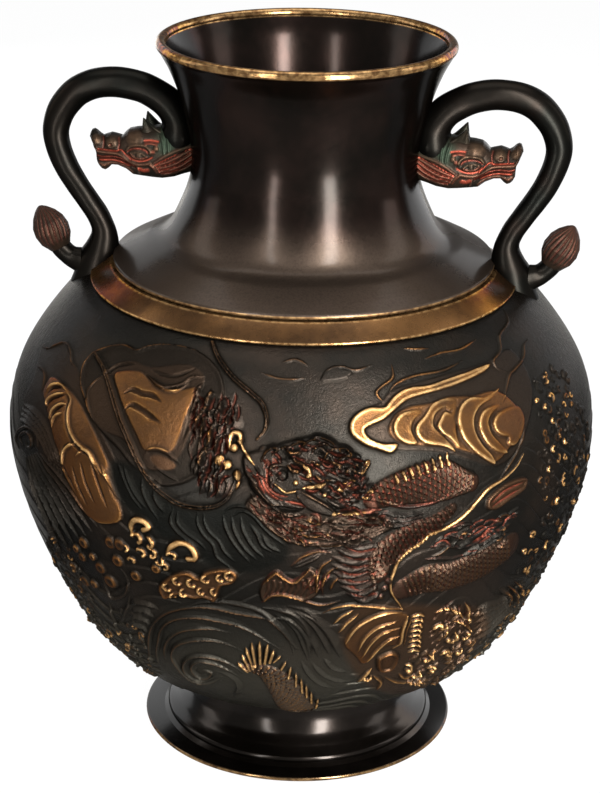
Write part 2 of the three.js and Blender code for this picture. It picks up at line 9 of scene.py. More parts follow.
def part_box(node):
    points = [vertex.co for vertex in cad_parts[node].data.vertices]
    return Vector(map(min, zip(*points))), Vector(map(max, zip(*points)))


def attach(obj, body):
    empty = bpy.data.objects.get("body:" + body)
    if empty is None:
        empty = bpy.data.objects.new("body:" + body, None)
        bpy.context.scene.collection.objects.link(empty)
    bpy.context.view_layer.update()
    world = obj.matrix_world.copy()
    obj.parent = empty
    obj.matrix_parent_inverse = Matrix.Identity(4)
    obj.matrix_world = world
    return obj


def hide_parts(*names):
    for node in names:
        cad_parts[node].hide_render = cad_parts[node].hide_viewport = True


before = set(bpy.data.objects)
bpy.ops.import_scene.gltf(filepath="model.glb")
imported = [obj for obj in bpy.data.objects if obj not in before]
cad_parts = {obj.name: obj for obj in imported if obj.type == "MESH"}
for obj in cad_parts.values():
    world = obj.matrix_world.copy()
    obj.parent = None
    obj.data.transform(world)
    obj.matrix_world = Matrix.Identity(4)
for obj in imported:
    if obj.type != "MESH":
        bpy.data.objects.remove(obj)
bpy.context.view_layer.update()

MM = 0.001

# The photograph's camera: pixels for its frame and focal length, metres and degrees for its place
FRAME_WIDTH, FRAME_HEIGHT = 600, 793
FOCAL_PIXELS = 2301
CAMERA_DISTANCE = 1.2053
CAMERA_HEIGHT = 0.6658
AIM_HEIGHT = 0.196
SIDE_STEP = -0.001
ROLL = math.radians(0.83)
TURN = math.radians(4.6)


def camera_axes():
    """The camera's place, its right and up directions and the way it looks, in metres."""
    place = np.array([SIDE_STEP, -CAMERA_DISTANCE, CAMERA_HEIGHT])
    ahead = np.array([SIDE_STEP, 0, AIM_HEIGHT]) - place
    ahead /= np.linalg.norm(ahead)
    level = np.cross(ahead, [0, 0, 1])
    level /= np.linalg.norm(level)
    upright = np.cross(level, ahead)
    right = math.cos(ROLL) * level + math.sin(ROLL) * upright
    up = -math.sin(ROLL) * level + math.cos(ROLL) * upright
    c, s = math.cos(TURN), math.sin(TURN)
    turned_round = np.array([[c, -s, 0], [s, c, 0], [0, 0, 1]])
    return [turned_round @ v for v in (place, right, up, ahead)]


EYE, RIGHT, UP, AHEAD = camera_axes()


def add_camera():
    """A camera that sees the frame as the photograph does."""
    data = bpy.data.cameras.new("camera")
    data.sensor_fit = "VERTICAL"
    data.lens = data.sensor_height * FOCAL_PIXELS / FRAME_HEIGHT
    camera = bpy.data.objects.new("camera", data)
    columns = [*RIGHT], [*UP], [*-AHEAD]
    camera.matrix_world = Matrix.Translation(EYE) @ Matrix(columns).transposed().to_4x4()
    bpy.context.scene.collection.objects.link(camera)
    bpy.context.scene.camera = camera


add_camera()


def box_mm(node):
    """A CAD node's lowest and highest corner in millimetres."""
    low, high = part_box(node)
    return np.array(low) / MM, np.array(high) / MM


# Sizes in millimetres: those of the frame's boxes, and a few more that the solids have
body_low, body_high = box_mm("body_shell")
band_low, band_high = box_mm("shoulder_band")
slope_low, slope_high = box_mm("neck_slope")
_, neck_high = box_mm("neck_and_mouth")
_, foot_high = box_mm("foot_ring")
BODY_Z, BAND_Z = body_low[2], body_high[2]
NECK_Z, MOUTH_Z = slope_low[2], neck_high[2]
BELLY_RADIUS = body_high[0]
BAND_RADIUS = band_high[0]
MOUTH_RADIUS = 80.4
FLANGE_RADIUS = foot_high[0]
NECK_FOOT_RADIUS = slope_high[0]
BODY_MOUTH_RADIUS = NECK_FOOT_RADIUS - 4.5
WALL = 4
CLEARANCE = 0.3
COLLAR_RISE = band_high[2] - NECK_Z


def curve_through(points, per_span, closed=False):
    """A centripetal Catmull-Rom curve through a few points, with per_span steps between each two."""
    p = np.asarray(points, float)
    if closed:
        p = np.vstack([p[-1], p, p[0], p[1]])
    else:
        p = np.vstack([2 * p[0] - p[1], p, 2 * p[-1] - p[-2]])
    out = []
    for a, b, c, d in zip(p, p[1:], p[2:], p[3:]):
        t0 = 0.0
        t1 = t0 + max(np.linalg.norm(b - a), 1e-9) ** 0.5
        t2 = t1 + max(np.linalg.norm(c - b), 1e-9) ** 0.5
        t3 = t2 + max(np.linalg.norm(d - c), 1e-9) ** 0.5
        t = np.linspace(t1, t2, per_span, endpoint=False)[:, None]
        ab = ((t1 - t) * a + (t - t0) * b) / (t1 - t0)
        bc = ((t2 - t) * b + (t - t1) * c) / (t2 - t1)
        cd = ((t3 - t) * c + (t - t2) * d) / (t3 - t2)
        abc = ((t2 - t) * ab + (t - t0) * bc) / (t2 - t0)
        bcd = ((t3 - t) * bc + (t - t1) * cd) / (t3 - t1)
        out.append(((t2 - t) * abc + (t - t1) * bcd) / (t2 - t1))
    if not closed:
        out.append(p[-2][None])
    return np.vstack(out)


# Outlines as radius and height, climbing, the same as the solids'
BELLY_Z = BODY_Z + 147
BASE_RADIUS = 62
TOP_RADIUS = BAND_RADIUS - 2.3
body_outline = curve_through(
    [
        (BASE_RADIUS, BODY_Z),
        (BASE_RADIUS + 14, BODY_Z + 4.6),
        (BASE_RADIUS + 43, BODY_Z + 20),
        (BELLY_RADIUS - 36, BELLY_Z - 103),
        (BELLY_RADIUS - 8.3, BELLY_Z - 43),
        (BELLY_RADIUS, BELLY_Z),
        (BELLY_RADIUS - 5.8, BELLY_Z + 37),
        (TOP_RADIUS + 18.2, BAND_Z - 12.5),
        (TOP_RADIUS + 8, BAND_Z - 3.8),
        (TOP_RADIUS, BAND_Z),
    ],
    16,
)
WAIST_RADIUS, WAIST_Z = 61.6, NECK_Z + 52.5
CORNER_RADIUS, CORNER_Z = 76.6, NECK_Z + 16.5
LIP_WIDTH, LIP_HEIGHT = 5.6, 5.6
neck_outline = curve_through(
    [
        (NECK_FOOT_RADIUS - 6.7, NECK_Z + 6.3),
        (CORNER_RADIUS + 10.5, CORNER_Z - 5),
        (CORNER_RADIUS, CORNER_Z),
        (WAIST_RADIUS + 7.4, WAIST_Z - 23.5),
        (WAIST_RADIUS, WAIST_Z),
        (WAIST_RADIUS + 5.3, WAIST_Z + 36),
        (MOUTH_RADIUS - 7.1, MOUTH_Z - 16),
        (MOUTH_RADIUS - 1.6, MOUTH_Z - LIP_HEIGHT),
    ],
    12,
)


def moved_in(outline, distance):
    """A climbing outline moved into the metal by a distance, square to itself."""
    along = np.gradient(outline, axis=0)
    along /= np.linalg.norm(along, axis=1)[:, None]
    return outline + distance * np.stack([-along[:, 1], along[:, 0]], 1)


def arc(centre, radius, start, end, steps):
    """Points of a circular arc in an outline, with its angles in degrees."""
    turn = np.radians(np.linspace(start, end, steps))
    return np.stack([centre[0] + radius * np.cos(turn), centre[1] + radius * np.sin(turn)], 1)


def mesh_object(name, vertices, faces, material, body="root", sharp=35, colours=None):
    """A mesh from arrays in millimetres, smooth but for edges over an angle, riding on a body."""
    mesh = bpy.data.meshes.new(name)
    faces = np.asarray(faces, np.int32)
    mesh.vertices.add(len(vertices))
    mesh.vertices.foreach_set("co", (np.asarray(vertices, float) * MM).astype(np.float32).ravel())
    mesh.loops.add(faces.size)
    mesh.loops.foreach_set("vertex_index", faces.ravel())
    mesh.polygons.add(len(faces))
    mesh.polygons.foreach_set("loop_start", np.arange(0, faces.size, faces.shape[1], dtype=np.int32))
    mesh.update(calc_edges=True)
    mesh.validate()
    mesh.shade_smooth()
    mesh.set_sharp_from_angle(angle=math.radians(sharp))
    for key, values in (colours or {}).items():
        attribute = mesh.attributes.new(key, "FLOAT", "POINT")
        attribute.data.foreach_set("value", np.asarray(values, np.float32).ravel())
    mesh.materials.append(material)
    piece = bpy.data.objects.new(name, mesh)
    bpy.context.scene.collection.objects.link(piece)
    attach(piece, body)
    return piece


def ring_faces(rows, columns, wrap_rows=False):
    """Quads over a grid of rows whose columns run round in a ring."""
    last = rows if wrap_rows else rows - 1
    r, c = np.meshgrid(np.arange(last), np.arange(columns), indexing="ij")
    r2, c2 = (r + 1) % rows, (c + 1) % columns
    quads = [r * columns + c, r * columns + c2, r2 * columns + c2, r2 * columns + c]
    return np.stack(quads, -1).reshape(-1, 4)


def add_grid_uv(piece, rows, columns, row_share):
    """A UV map that follows the grid, so that nothing has to be unwrapped later."""
    mesh = piece.data
    layer = mesh.uv_layers.new(name="OFBake")
    corner = np.empty(len(mesh.loops), np.int32)
    mesh.loops.foreach_get("vertex_index", corner)
    quads = corner.reshape(-1, 4)
    r, c = quads // columns, quads % columns
    c = np.where((c == 0) & (c.max(1, keepdims=True) > 1), columns, c)
    share = np.append(row_share, 1.0)
    r = np.where((r == 0) & (r.max(1, keepdims=True) > 1), rows, r)
    uv = np.stack([c / columns, share[r]], -1)
    layer.data.foreach_set("uv", uv.astype(np.float32).ravel())


def shares_round(outline):
    """How far along a closed outline each of its points lies, as a share of the whole way."""
    step = np.linalg.norm(np.roll(outline, -1, 0) - outline, axis=1)
    return np.append(0, np.cumsum(step))[:-1] / step.sum()


def about_axis(radius, z, turn):
    """Places at some radii, heights and turns about the urn's axis, where a turn of 0 is in front."""
    return np.stack([radius * np.sin(turn), -radius * np.cos(turn), z + 0 * turn], -1)


TURNED_COLUMNS = 288


def turned(name, outline, material):
    """A ring turned about the urn's axis from a closed outline, anticlockwise."""
    outline = np.asarray(outline, float)
    turn = 2 * np.pi * np.arange(TURNED_COLUMNS) / TURNED_COLUMNS
    vertices = about_axis(outline[:, :1], outline[:, 1:], turn).reshape(-1, 3)
    faces = ring_faces(len(outline), TURNED_COLUMNS, wrap_rows=True)
    piece = mesh_object(name, vertices, faces, material)
    add_grid_uv(piece, len(outline), TURNED_COLUMNS, shares_round(outline))
    return piece


# Materials

def new_material(name):
    """A material with its nodes, its links and its shader."""
    material = bpy.data.materials.new(name)
    material.use_nodes = True
    nodes = material.node_tree.nodes
    return material, nodes, material.node_tree.links, nodes["Principled BSDF"]


class Graph:
    """Short names for the node work of one material."""

    def __init__(self, name):
        self.material, self.nodes, self.links, self.shader = new_material(name)
        self.place = self.nodes.new("ShaderNodeTexCoord").outputs["Object"]

    def value(self, socket, x):
        """A socket set to a number or a colour, or joined to another node's output."""
        if hasattr(x, "is_output"):
            self.links.new(x, socket)
        else:
            socket.default_value = x

    def noise(self, scale, detail, rough=0.55):
        """Noise from 0 to 1 over the piece, its scale in patches per metre."""
        node = self.nodes.new("ShaderNodeTexNoise")
        self.links.new(self.place, node.inputs["Vector"])
        node.inputs["Scale"].default_value = scale
        node.inputs["Detail"].default_value = detail
        node.inputs["Roughness"].default_value = rough
        return node.outputs["Fac"]

    def math(self, kind, a, b):
        """A sum, a product or the like of two numbers or outputs."""
        node = self.nodes.new("ShaderNodeMath")
        node.operation = kind
        self.value(node.inputs[0], a)
        self.value(node.inputs[1], b)
        return node.outputs[0]

    def times(self, a, b):
        return self.math("MULTIPLY", a, b)

    def plus(self, a, b):
        return self.math("ADD", a, b)

    def span(self, x, low, high, to_low=0.0, to_high=1.0):
        """A soft step: one number below a low value, another above a high one."""
        node = self.nodes.new("ShaderNodeMapRange")
        node.interpolation_type = "SMOOTHSTEP"
        self.value(node.inputs["Value"], x)
        for key, number in (("From Min", low), ("From Max", high), ("To Min", to_low), ("To Max", to_high)):
            node.inputs[key].default_value = number
        return node.outputs["Result"]

    def mix(self, share, a, b):
        """Two colours mixed: the first at a share of 0, the second at 1."""
        node = self.nodes.new("ShaderNodeMix")
        node.data_type = "RGBA"
        self.value(node.inputs["Factor"], share)
        for socket, x in ((node.inputs["A"], a), (node.inputs["B"], b)):
            self.value(socket, (*x, 1.0) if isinstance(x, tuple) else x)
        return node.outputs["Result"]

    def attribute(self, name):
        """A number that the mesh carries at its points."""
        node = self.nodes.new("ShaderNodeAttribute")
        node.attribute_name = name
        return node.outputs["Fac"]

    def height(self):
        """Height above the floor in metres."""
        node = self.nodes.new("ShaderNodeSeparateXYZ")
        self.links.new(self.place, node.inputs[0])
        return node.outputs["Z"]

    def bump(self, height, strength, distance):
        """Fine unevenness of the face, its depth in metres."""
        node = self.nodes.new("ShaderNodeBump")
        node.inputs["Strength"].default_value = strength
        node.inputs["Distance"].default_value = distance
        self.links.new(height, node.inputs["Height"])
        self.links.new(node.outputs["Normal"], self.shader.inputs["Normal"])

    def finish(self, colour, rough, metal=0.9, coat=0.0):
        """Patina is metal with a dark face, so its edges gleam less than glass or paint would."""
        self.value(self.shader.inputs["Base Color"], colour)
        self.value(self.shader.inputs["Roughness"], rough)
        self.value(self.shader.inputs["Metallic"], metal)
        self.shader.inputs["Specular IOR Level"].default_value = 0.15
        self.shader.inputs["Specular Tint"].default_value = (0.25, 0.24, 0.22, 1)
        self.shader.inputs["Coat Weight"].default_value = coat
        self.shader.inputs["Coat Roughness"].default_value = 0.16
        return self.material


BLACK = (0.0035, 0.0026, 0.0019)
BROWN = (0.011, 0.007, 0.005)
RED_BROWN = (0.022, 0.010, 0.007)
GREEN_BLACK = (0.0034, 0.0036, 0.0031)
GOLD = (0.26, 0.155, 0.065)
AMBER = (0.090, 0.035, 0.008)
DULL_GOLD = (0.10, 0.050, 0.018)
PIGMENT = (0.11, 0.026, 0.015)
HEAD_PIGMENT = (0.10, 0.018, 0.010)
VERDIGRIS = (0.009, 0.014, 0.009)
# Brown grey for a painted sheen of reflected light on the lower neck
SHEEN_BROWN = (0.032, 0.023, 0.017)
RELIEF_BLACK, RELIEF_BROWN = (0.0085, 0.0077, 0.0065), (0.017, 0.0125, 0.0095)
# Light grey for the lower body: a painted reflection of the white floor below it
FLOOR_REFLECTION_GREY = (0.037, 0.034, 0.027)
WARM_BROWN = (0.040, 0.020, 0.010)
LIGHT_AMBER, PITTED_AMBER, STAINED_AMBER = (0.10, 0.043, 0.010), (0.02, 0.010, 0.005), (0.016, 0.010, 0.006)
HOLLOW_BLACK = (0.004, 0.0033, 0.0025)
NECK_BROWN = (0.010, 0.0058, 0.0045)
BAND_BROWN, BAND_GOLD = (0.030, 0.016, 0.008), (0.085, 0.042, 0.016)
FOOT_BROWN = (0.011, 0.0085, 0.007)
ARM_BROWN = (0.0065, 0.0052, 0.0042)
HEAD_BLACK, HEAD_BROWN = (0.006, 0.0052, 0.004), (0.015, 0.0095, 0.0065)
HEAD_HOLLOW, HEAD_WEAR = (0.006, 0.006, 0.005), (0.052, 0.029, 0.016)
BUD_BLACK, BUD_BROWN = (0.008, 0.006, 0.0042), (0.017, 0.0098, 0.0062)
BUD_RED, BUD_TAN = (0.036, 0.010, 0.007), (0.020, 0.010, 0.0065)


def patina(name, low, high, brown, rough):
    """Dark patina between two tones, with reddish brown here and there."""
    g = Graph(name)
    fine = g.noise(260, 3, 0.6)
    tone = g.mix(g.span(g.noise(14, 5, 0.6), 0.35, 0.7), low, high)
    tone = g.mix(g.times(g.span(g.noise(22, 3), 0.5, 0.75), brown), tone, RED_BROWN)
    g.bump(fine, 0.1, 0.0004)
    return g.finish(tone, g.plus(g.times(fine, 0.12), rough - 0.05))


def worn_line(g, low, high, most):
    """Gold that shows between two heights in metres, strongest at the high one."""
    line = g.span(g.height(), low, high, 0.0, most)
    return g.times(line, g.span(g.noise(70, 5, 0.7), 0.3, 0.55, 0.45, 1.0))


def turned_patina(name, tone_low, tone_high, lines, rough, coat=0.0, sheen_heights=None):
    """Patina of a turned piece between two tones, worn to gold along lines at some heights, and below a
    height rougher and lightened in a grainy painted sheen. A line is two heights in mm and how much gold it
    shows."""
    g = Graph(name)
    fine = g.noise(300, 3, 0.6)
    colour = g.mix(g.span(g.noise(18, 5, 0.6), 0.35, 0.68), tone_low, tone_high)
    roughness = g.plus(g.times(fine, 0.12), rough - 0.05)
    # Below the given heights the colour is lightened towards a grainy painted sheen of reflected light, and
    # the face is made rougher
    if sheen_heights:
        sheen_share = g.span(g.height(), sheen_heights[0] * MM, sheen_heights[1] * MM, 1.0, 0.0)
        grain = g.span(g.noise(900, 3, 0.7), 0.3, 0.6, 0.6, 1.0)
        colour = g.mix(g.times(sheen_share, grain), colour, SHEEN_BROWN)
        roughness = g.plus(roughness, g.times(sheen_share, 0.2))
    gold = g.mix(g.span(fine, 0.35, 0.65), DULL_GOLD, GOLD)
    for low, high, most in lines:
        colour = g.mix(worn_line(g, low * MM, high * MM, most), colour, gold)
    g.bump(fine, 0.1, 0.0004)
    return g.finish(colour, roughness, coat=coat)


def relief_patina(name):
    """Patina of the relief: amber and gold where it is worn, red in painted lines, black in hollows,
    and greenish black and duller where the relief is marked as dark. Towards the bottom it turns lighter
    grey, a painted reflection of the floor."""
    g = Graph(name)
    masks = ("wear", "red", "hollow", "brown", "dark")
    wear, red, hollow, brown, dark = (g.attribute(key) for key in masks)
    fine = g.noise(330, 4, 0.65)
    blotches = g.noise(55, 5, 0.7)
    grain = g.noise(1300, 2, 0.6)
    tone = g.mix(g.span(g.noise(16, 5, 0.6), 0.4, 0.7), RELIEF_BLACK, RELIEF_BROWN)
    # Lighter grey towards the bottom: a painted reflection of the floor, which the lower body faces
    tone = g.mix(g.span(g.height(), 0.15, 0.075, 0.0, 0.8), tone, FLOOR_REFLECTION_GREY)
    tone = g.mix(g.times(brown, 0.9), tone, WARM_BROWN)
    tone = g.mix(dark, tone, GREEN_BLACK)
    amber = g.mix(g.span(blotches, 0.35, 0.65), AMBER, LIGHT_AMBER)
    amber = g.mix(g.span(grain, 0.5, 0.7, 0.0, 0.55), amber, PITTED_AMBER)
    amber = g.mix(g.span(g.noise(34, 5, 0.7), 0.5, 0.68, 0.0, 0.75), amber, STAINED_AMBER)
    bright = g.times(g.span(wear, 0.6, 1.0), g.span(fine, 0.3, 0.6, 0.6, 1.0))
    gold = g.mix(bright, amber, GOLD)
    broken = g.times(g.span(wear, 0.2, 0.9), g.span(g.noise(120, 5, 0.7), 0.25, 0.6, 0.4, 1.0))
    colour = g.mix(broken, tone, gold)
    colour = g.mix(g.times(hollow, 0.85), colour, HOLLOW_BLACK)
    colour = g.mix(g.times(red, g.span(g.noise(200, 3), 0.3, 0.6, 0.25, 0.75)), colour, PIGMENT)
    roughness = g.plus(g.times(hollow, 0.2), g.span(grain, 0.3, 0.7, 0.28, 0.42))
    roughness = g.plus(roughness, g.times(dark, 0.1))
    g.bump(g.plus(fine, g.times(grain, 0.6)), 0.4, 0.0008)
    return g.finish(colour, roughness)


# The relief on the body

# How narrow a line is at its start and its end, as shares of its width
TAPER = (0.3, 0.3)

# Where rays of the photograph are searched for the body, in metres from the camera
NEAREST, FARTHEST, RAY_STEPS = 1.0, 1.45, 900


def narrowed(share, taper):
    """The width along a line as a share of its full one: less near its start and its end."""
    narrow = np.minimum(1, taper[0] + (1 - taper[0]) * share * 4)
    return np.minimum(narrow, taper[1] + (1 - taper[1]) * (1 - share) * 4)


class Relief:
    """A height map on the body, with maps of its wear, red, brown and dark. Its plane has angle about
    the axis across, and up the sum of each step over its radius, so that shapes keep their angles and
    the radius is the local scale."""

    def __init__(self, outline, columns):
        step = np.linalg.norm(np.diff(outline, axis=0), axis=1)
        middle = (outline[1:, 0] + outline[:-1, 0]) / 2
        rise = np.append(0, np.cumsum(step / middle))
        self.columns = columns
        self.turn = 0.0
        self.pitch = 2 * np.pi / columns
        self.rows = int(rise[-1] / self.pitch) + 1
        self.up = np.linspace(0, rise[-1], self.rows)
        self.radius = np.interp(self.up, rise, outline[:, 0])
        self.z = np.interp(self.up, rise, outline[:, 1])
        along = np.stack([np.gradient(self.radius), np.gradient(self.z)], 1)
        along /= np.linalg.norm(along, axis=1)[:, None]
        self.out = np.stack([along[:, 1], -along[:, 0]], 1)
        shape = self.rows, columns
        self.height, self.wear, self.red, self.brown, self.dark = (np.zeros(shape) for _ in range(5))

    def from_photo(self, pixels):
        """The plane's points under pixels of the photograph, or the nearest on the silhouette."""
        pixels = np.asarray(pixels, float)
        right = (pixels[:, 0] - FRAME_WIDTH / 2) / FOCAL_PIXELS
        down = (pixels[:, 1] - FRAME_HEIGHT / 2) / FOCAL_PIXELS
        ray = AHEAD + right[:, None] * RIGHT - down[:, None] * UP
        t = np.linspace(NEAREST, FARTHEST, RAY_STEPS)
        points = (EYE + ray[:, None] * t[None, :, None]) / MM
        across = np.hypot(points[..., 0], points[..., 1])
        inside = np.interp(points[..., 2], self.z, self.radius) - across
        first = np.where((inside > 0).any(1), (inside > 0).argmax(1), inside.argmax(1))
        hit = points[np.arange(len(pixels)), first]
        across = np.arctan2(hit[:, 0], -hit[:, 1]) + self.turn
        return np.stack([across, np.interp(hit[:, 2], self.z, self.up)], 1)

    def scale_at(self, place):
        """Millimetres on the body to a step of 1 in the plane, at a place."""
        return np.interp(place[1], self.up, self.radius)

    def window(self, points, margin):
        """The rows and columns within a margin in mm of some points, and their places."""
        low, high = points.min(0), points.max(0)
        reach = margin / min(self.scale_at(low), self.scale_at(high))
        from_to = np.array([low[1] - reach, high[1] + reach]) / self.pitch + [0, 2]
        r = np.arange(*np.clip(from_to, 0, self.rows).astype(int))
        left = math.floor((low[0] - reach + np.pi) / self.pitch)
        right = math.ceil((high[0] + reach + np.pi) / self.pitch)
        c = np.arange(left, right + 1)[: self.columns]
        x, y = np.meshgrid(c * self.pitch - np.pi, r * self.pitch)
        return np.ix_(r, c % self.columns), x, y, self.radius[r][:, None]

    def distance(self, x, y, scale, points, closed=False):
        """Distance in mm from a line, the share along it, and which side is which."""
        ends = np.vstack([points, points[:1]]) if closed else points
        step = np.linalg.norm(np.diff(ends, axis=0), axis=1)
        so_far, total = np.append(0, np.cumsum(step)), max(step.sum(), 1e-9)
        best = np.full(x.shape, np.inf)
        share, side = np.zeros(x.shape), np.zeros(x.shape)
        for i, (a, b) in enumerate(zip(ends, ends[1:])):
            d = b - a
            length = max(d @ d, 1e-18)
            t = np.clip(((x - a[0]) * d[0] + (y - a[1]) * d[1]) / length, 0, 1)
            gap = (x - a[0] - t * d[0]) ** 2 + (y - a[1] - t * d[1]) ** 2
            near = gap < best
            best = np.where(near, gap, best)
            share = np.where(near, (so_far[i] + t * step[i]) / total, share)
            cross = d[0] * (y - a[1]) - d[1] * (x - a[0])
            side = np.where(near, np.sign(cross), side)
        return np.sqrt(best) * scale, share, side

    def inside(self, x, y, points):
        """True inside a closed line."""
        result = np.zeros(x.shape, bool)
        for a, b in zip(points, np.roll(points, -1, 0)):
            crosses = (a[1] > y) != (b[1] > y)
            at = (b[0] - a[0]) * (y - a[1]) / (b[1] - a[1] + 1e-18) + a[0]
            result ^= crosses & (x < at)
        return result

    def lay(self, cells, mask, **layers):
        """New values laid over the maps in some cells, as far as a mask says."""
        for key, values in layers.items():
            layer = getattr(self, key)
            layer[cells] = layer[cells] * (1 - mask) + values * mask

    def line(self, points, width, height, wear=0.0, red=0.0, taper=TAPER):
        """A rounded ridge along a smooth line, or a groove where height is negative."""
        points = curve_through(points, 4)
        cells, x, y, scale = self.window(points, width)
        gap, share, _ = self.distance(x, y, scale, points)
        narrow = narrowed(share, taper)
        form = np.clip(1 - (gap / (0.5 * width * narrow + 1e-6)) ** 2, 0, 1) ** 0.8
        self.height[cells] += height * form * narrow
        self.wear[cells] = np.maximum(self.wear[cells], wear * form)
        self.red[cells] = np.maximum(self.red[cells], red * form)

    def terrace(self, points, width, height, wear=0.0, red=0.0, flip=False):
        """A step along a smooth line: steep on its right, and falling slowly on its left, over a width.
        Flipped, it is steep on its left."""
        points = curve_through(points, 4)
        cells, x, y, scale = self.window(points, 1.1 * width)
        gap, share, side = self.distance(x, y, scale, points)
        narrow = narrowed(share, TAPER)
        slow = side < 0 if flip else side > 0
        form = np.clip(1 - gap / np.where(slow, width * narrow, 0.9), 0, 1)
        step = height * narrow * form ** 1.2
        above = step > self.height[cells]
        self.height[cells] = np.maximum(self.height[cells], step)
        for mask, most in ((self.wear, wear), (self.red, red)):
            mask[cells] = np.where(above, most * form ** 4, mask[cells])

    def area(self, points, height, edge=1.2, wear=0.0, brown=0.0, crown=0.0, rim=0.0, tilt=0.0, face=0.72,
             dark=0.0):
        """A raised field with a soft edge, a crown in its middle, a rim, or a tilt down to the right.
        Its rim is worn in full, and its face by a share of that. Brown and dark colour its ground."""
        points = curve_through(points, 4, closed=True)
        cells, x, y, scale = self.window(points, 2 * edge)
        gap, _, _ = self.distance(x, y, scale, points, closed=True)
        depth = np.where(self.inside(x, y, points), gap, -gap)
        mask = np.clip(0.5 + depth / edge, 0, 1)
        mask = mask * mask * (3 - 2 * mask)
        swell = crown * (1 - np.exp(-np.clip(depth, 0, None) / 6))
        top = height + swell + rim * np.exp(-((depth - 1.2) ** 2))
        low, high = points[:, 0].min(), points[:, 0].max()
        top = top - tilt * np.clip((x - low) / (high - low), 0, 1)
        worn = wear * (face + (1 - face) * np.exp(-((depth - 0.9) / 1.2) ** 2))
        self.lay(cells, mask, height=top, wear=worn, brown=brown, dark=dark, red=0.0)

    def dome(self, centre, radius, height, wear=0.0, red=0.0, hollow=0.0):
        """A round boss that stands on the lowest ground about it, dimpled where it is hollow."""
        cells, x, y, scale = self.window(centre[None], 1.2 * radius)
        if not x.size:
            return
        share = np.hypot(x - centre[0], y - centre[1]) * scale / radius
        form = np.clip(1 - share ** 2, 0, 1) ** 0.6
        dimple = 1 - hollow * np.clip(1 - (share / 0.55) ** 2, 0, 1)
        ground = self.height[cells].min()
        boss = np.maximum(self.height[cells], ground + height * form) * dimple
        self.height[cells] = np.where(share < 1, boss, self.height[cells])
        mask = form * dimple
        self.wear[cells] = np.maximum(self.wear[cells] * (1 - mask), wear * mask)
        self.red[cells] = np.maximum(self.red[cells] * (1 - mask), red * mask)

    def scales(self, spine, half_widths, pitch, height, wear, red):
        """A rounded body along a spine, covered in rows of overlapping scales that point back."""
        places = np.linspace(0, 1, 40)
        half_widths = np.interp(places, np.linspace(0, 1, len(half_widths)), half_widths)
        spine = curve_through(spine, 6)
        cells, x, y, scale = self.window(spine, 1.2 * half_widths.max())
        gap, share, side = self.distance(x, y, scale, spine)
        length = np.linalg.norm(np.diff(spine, axis=0), axis=1).sum() * self.scale_at(spine.mean(0))
        half = np.interp(share, places, half_widths)
        edge = np.clip(1 - (gap / half) ** 2, 0, 1)
        body = edge ** 0.5
        row = share * length / (0.8 * pitch)
        i = np.floor(row)
        u = row - i
        v = side * gap / pitch + 0.5 * (i % 2)
        v = v - np.floor(v) - 0.5
        tip = 0.95 - 2.2 * v ** 2
        plate = np.where(u < tip, (u / np.maximum(tip, 0.1)) ** 0.7 * (1 - 1.2 * v ** 2), 0.0)
        rise = height * body * (0.45 + 0.55 * plate)
        mask = np.clip(edge * 8, 0, 1)
        between = np.clip(1 - 1.6 * plate, 0, 1)
        self.lay(cells, mask, height=rise + 0.3, wear=wear * plate, red=red * between, brown=0.3)


def blurred(field, radius):
    """A field averaged over a square about each cell, wrapped round the body."""
    for _ in range(2):
        pad = np.pad(field, ((radius, radius), (0, 0)), mode="edge")
        total = np.cumsum(np.vstack([np.zeros((1, pad.shape[1])), pad]), 0)
        field = (total[2 * radius + 1:] - total[: -2 * radius - 1]) / (2 * radius + 1)
        pad = np.pad(field, ((0, 0), (radius, radius)), mode="wrap")
        total = np.cumsum(np.hstack([np.zeros((pad.shape[0], 1)), pad]), 1)
        field = (total[:, 2 * radius + 1:] - total[:, : -2 * radius - 1]) / (2 * radius + 1)
    return field


relief = Relief(body_outline, 2200)


# What the motifs are made of: places in pixels of the photograph, widths and heights in mm

def ridge(pixels, *words, **more):
    """A rounded ridge along a line, or a groove where its height is negative."""
    relief.line(relief.from_photo(pixels), *words, **more)


def ridges(lines, *words, **more):
    """The same ridge along each of several lines."""
    for pixels in lines:
        ridge(pixels, *words, **more)


def waves(lines, *words, **more):
    """A step along each of several lines, steep on one side and falling slowly on the other."""
    for pixels in lines:
        relief.terrace(relief.from_photo(pixels), *words, **more)


def resampled(path, steps):
    """A line's points at even steps along it."""
    path = np.asarray(path, float)
    so_far = np.append(0, np.cumsum(np.linalg.norm(np.diff(path, axis=0), axis=1)))
    share = np.linspace(0, so_far[-1], steps)
    return np.stack([np.interp(share, so_far, path[:, 0]), np.interp(share, so_far, path[:, 1])], 1)


def bundle(first, last, count, *words, **more):
    """Steps that fill the room between two lines, like combed hair or water."""
    first, last = (resampled(curve_through(line, 6), 9) for line in (first, last))
    waves([first + share * (last - first) for share in np.linspace(0, 1, count)], *words, **more)


def field(pixels, *words, **more):
    """A raised field inside a closed line."""
    relief.area(relief.from_photo(pixels), *words, **more)


def whisker(pixels, width, height, wear):
    """A ridge with a groove along its middle."""
    ridge(pixels, width, height, wear=wear, taper=(0.8, 0.5))
    ridge(pixels, 0.35 * width, -0.6 * height)


def grooves(lines, width, depth):
    """Grooves of a depth along several lines."""
    ridges(lines, width, -depth)


def bulb(pixel, *words, **more):
    """A round boss on a pixel."""
    relief.dome(relief.from_photo([pixel])[0], *words, **more)


def scaled(spine, half_widths, pitch, height, wear, red):
    """A scaled stretch of the dragon's body along a spine."""
    relief.scales(relief.from_photo(spine), half_widths, pitch, height, wear, red)


def leaf(start, end, width, height, wear, red):
    """A lens-shaped leaf with a groove along its middle."""
    start, end = np.array(start, float), np.array(end, float)
    ridge([start, (start + end) / 2, end], width, height, wear=wear, red=red, taper=(0, 0))
    ridge([start, (start + end) / 2, end], 0.35 * width, -0.6 * height, red=red)


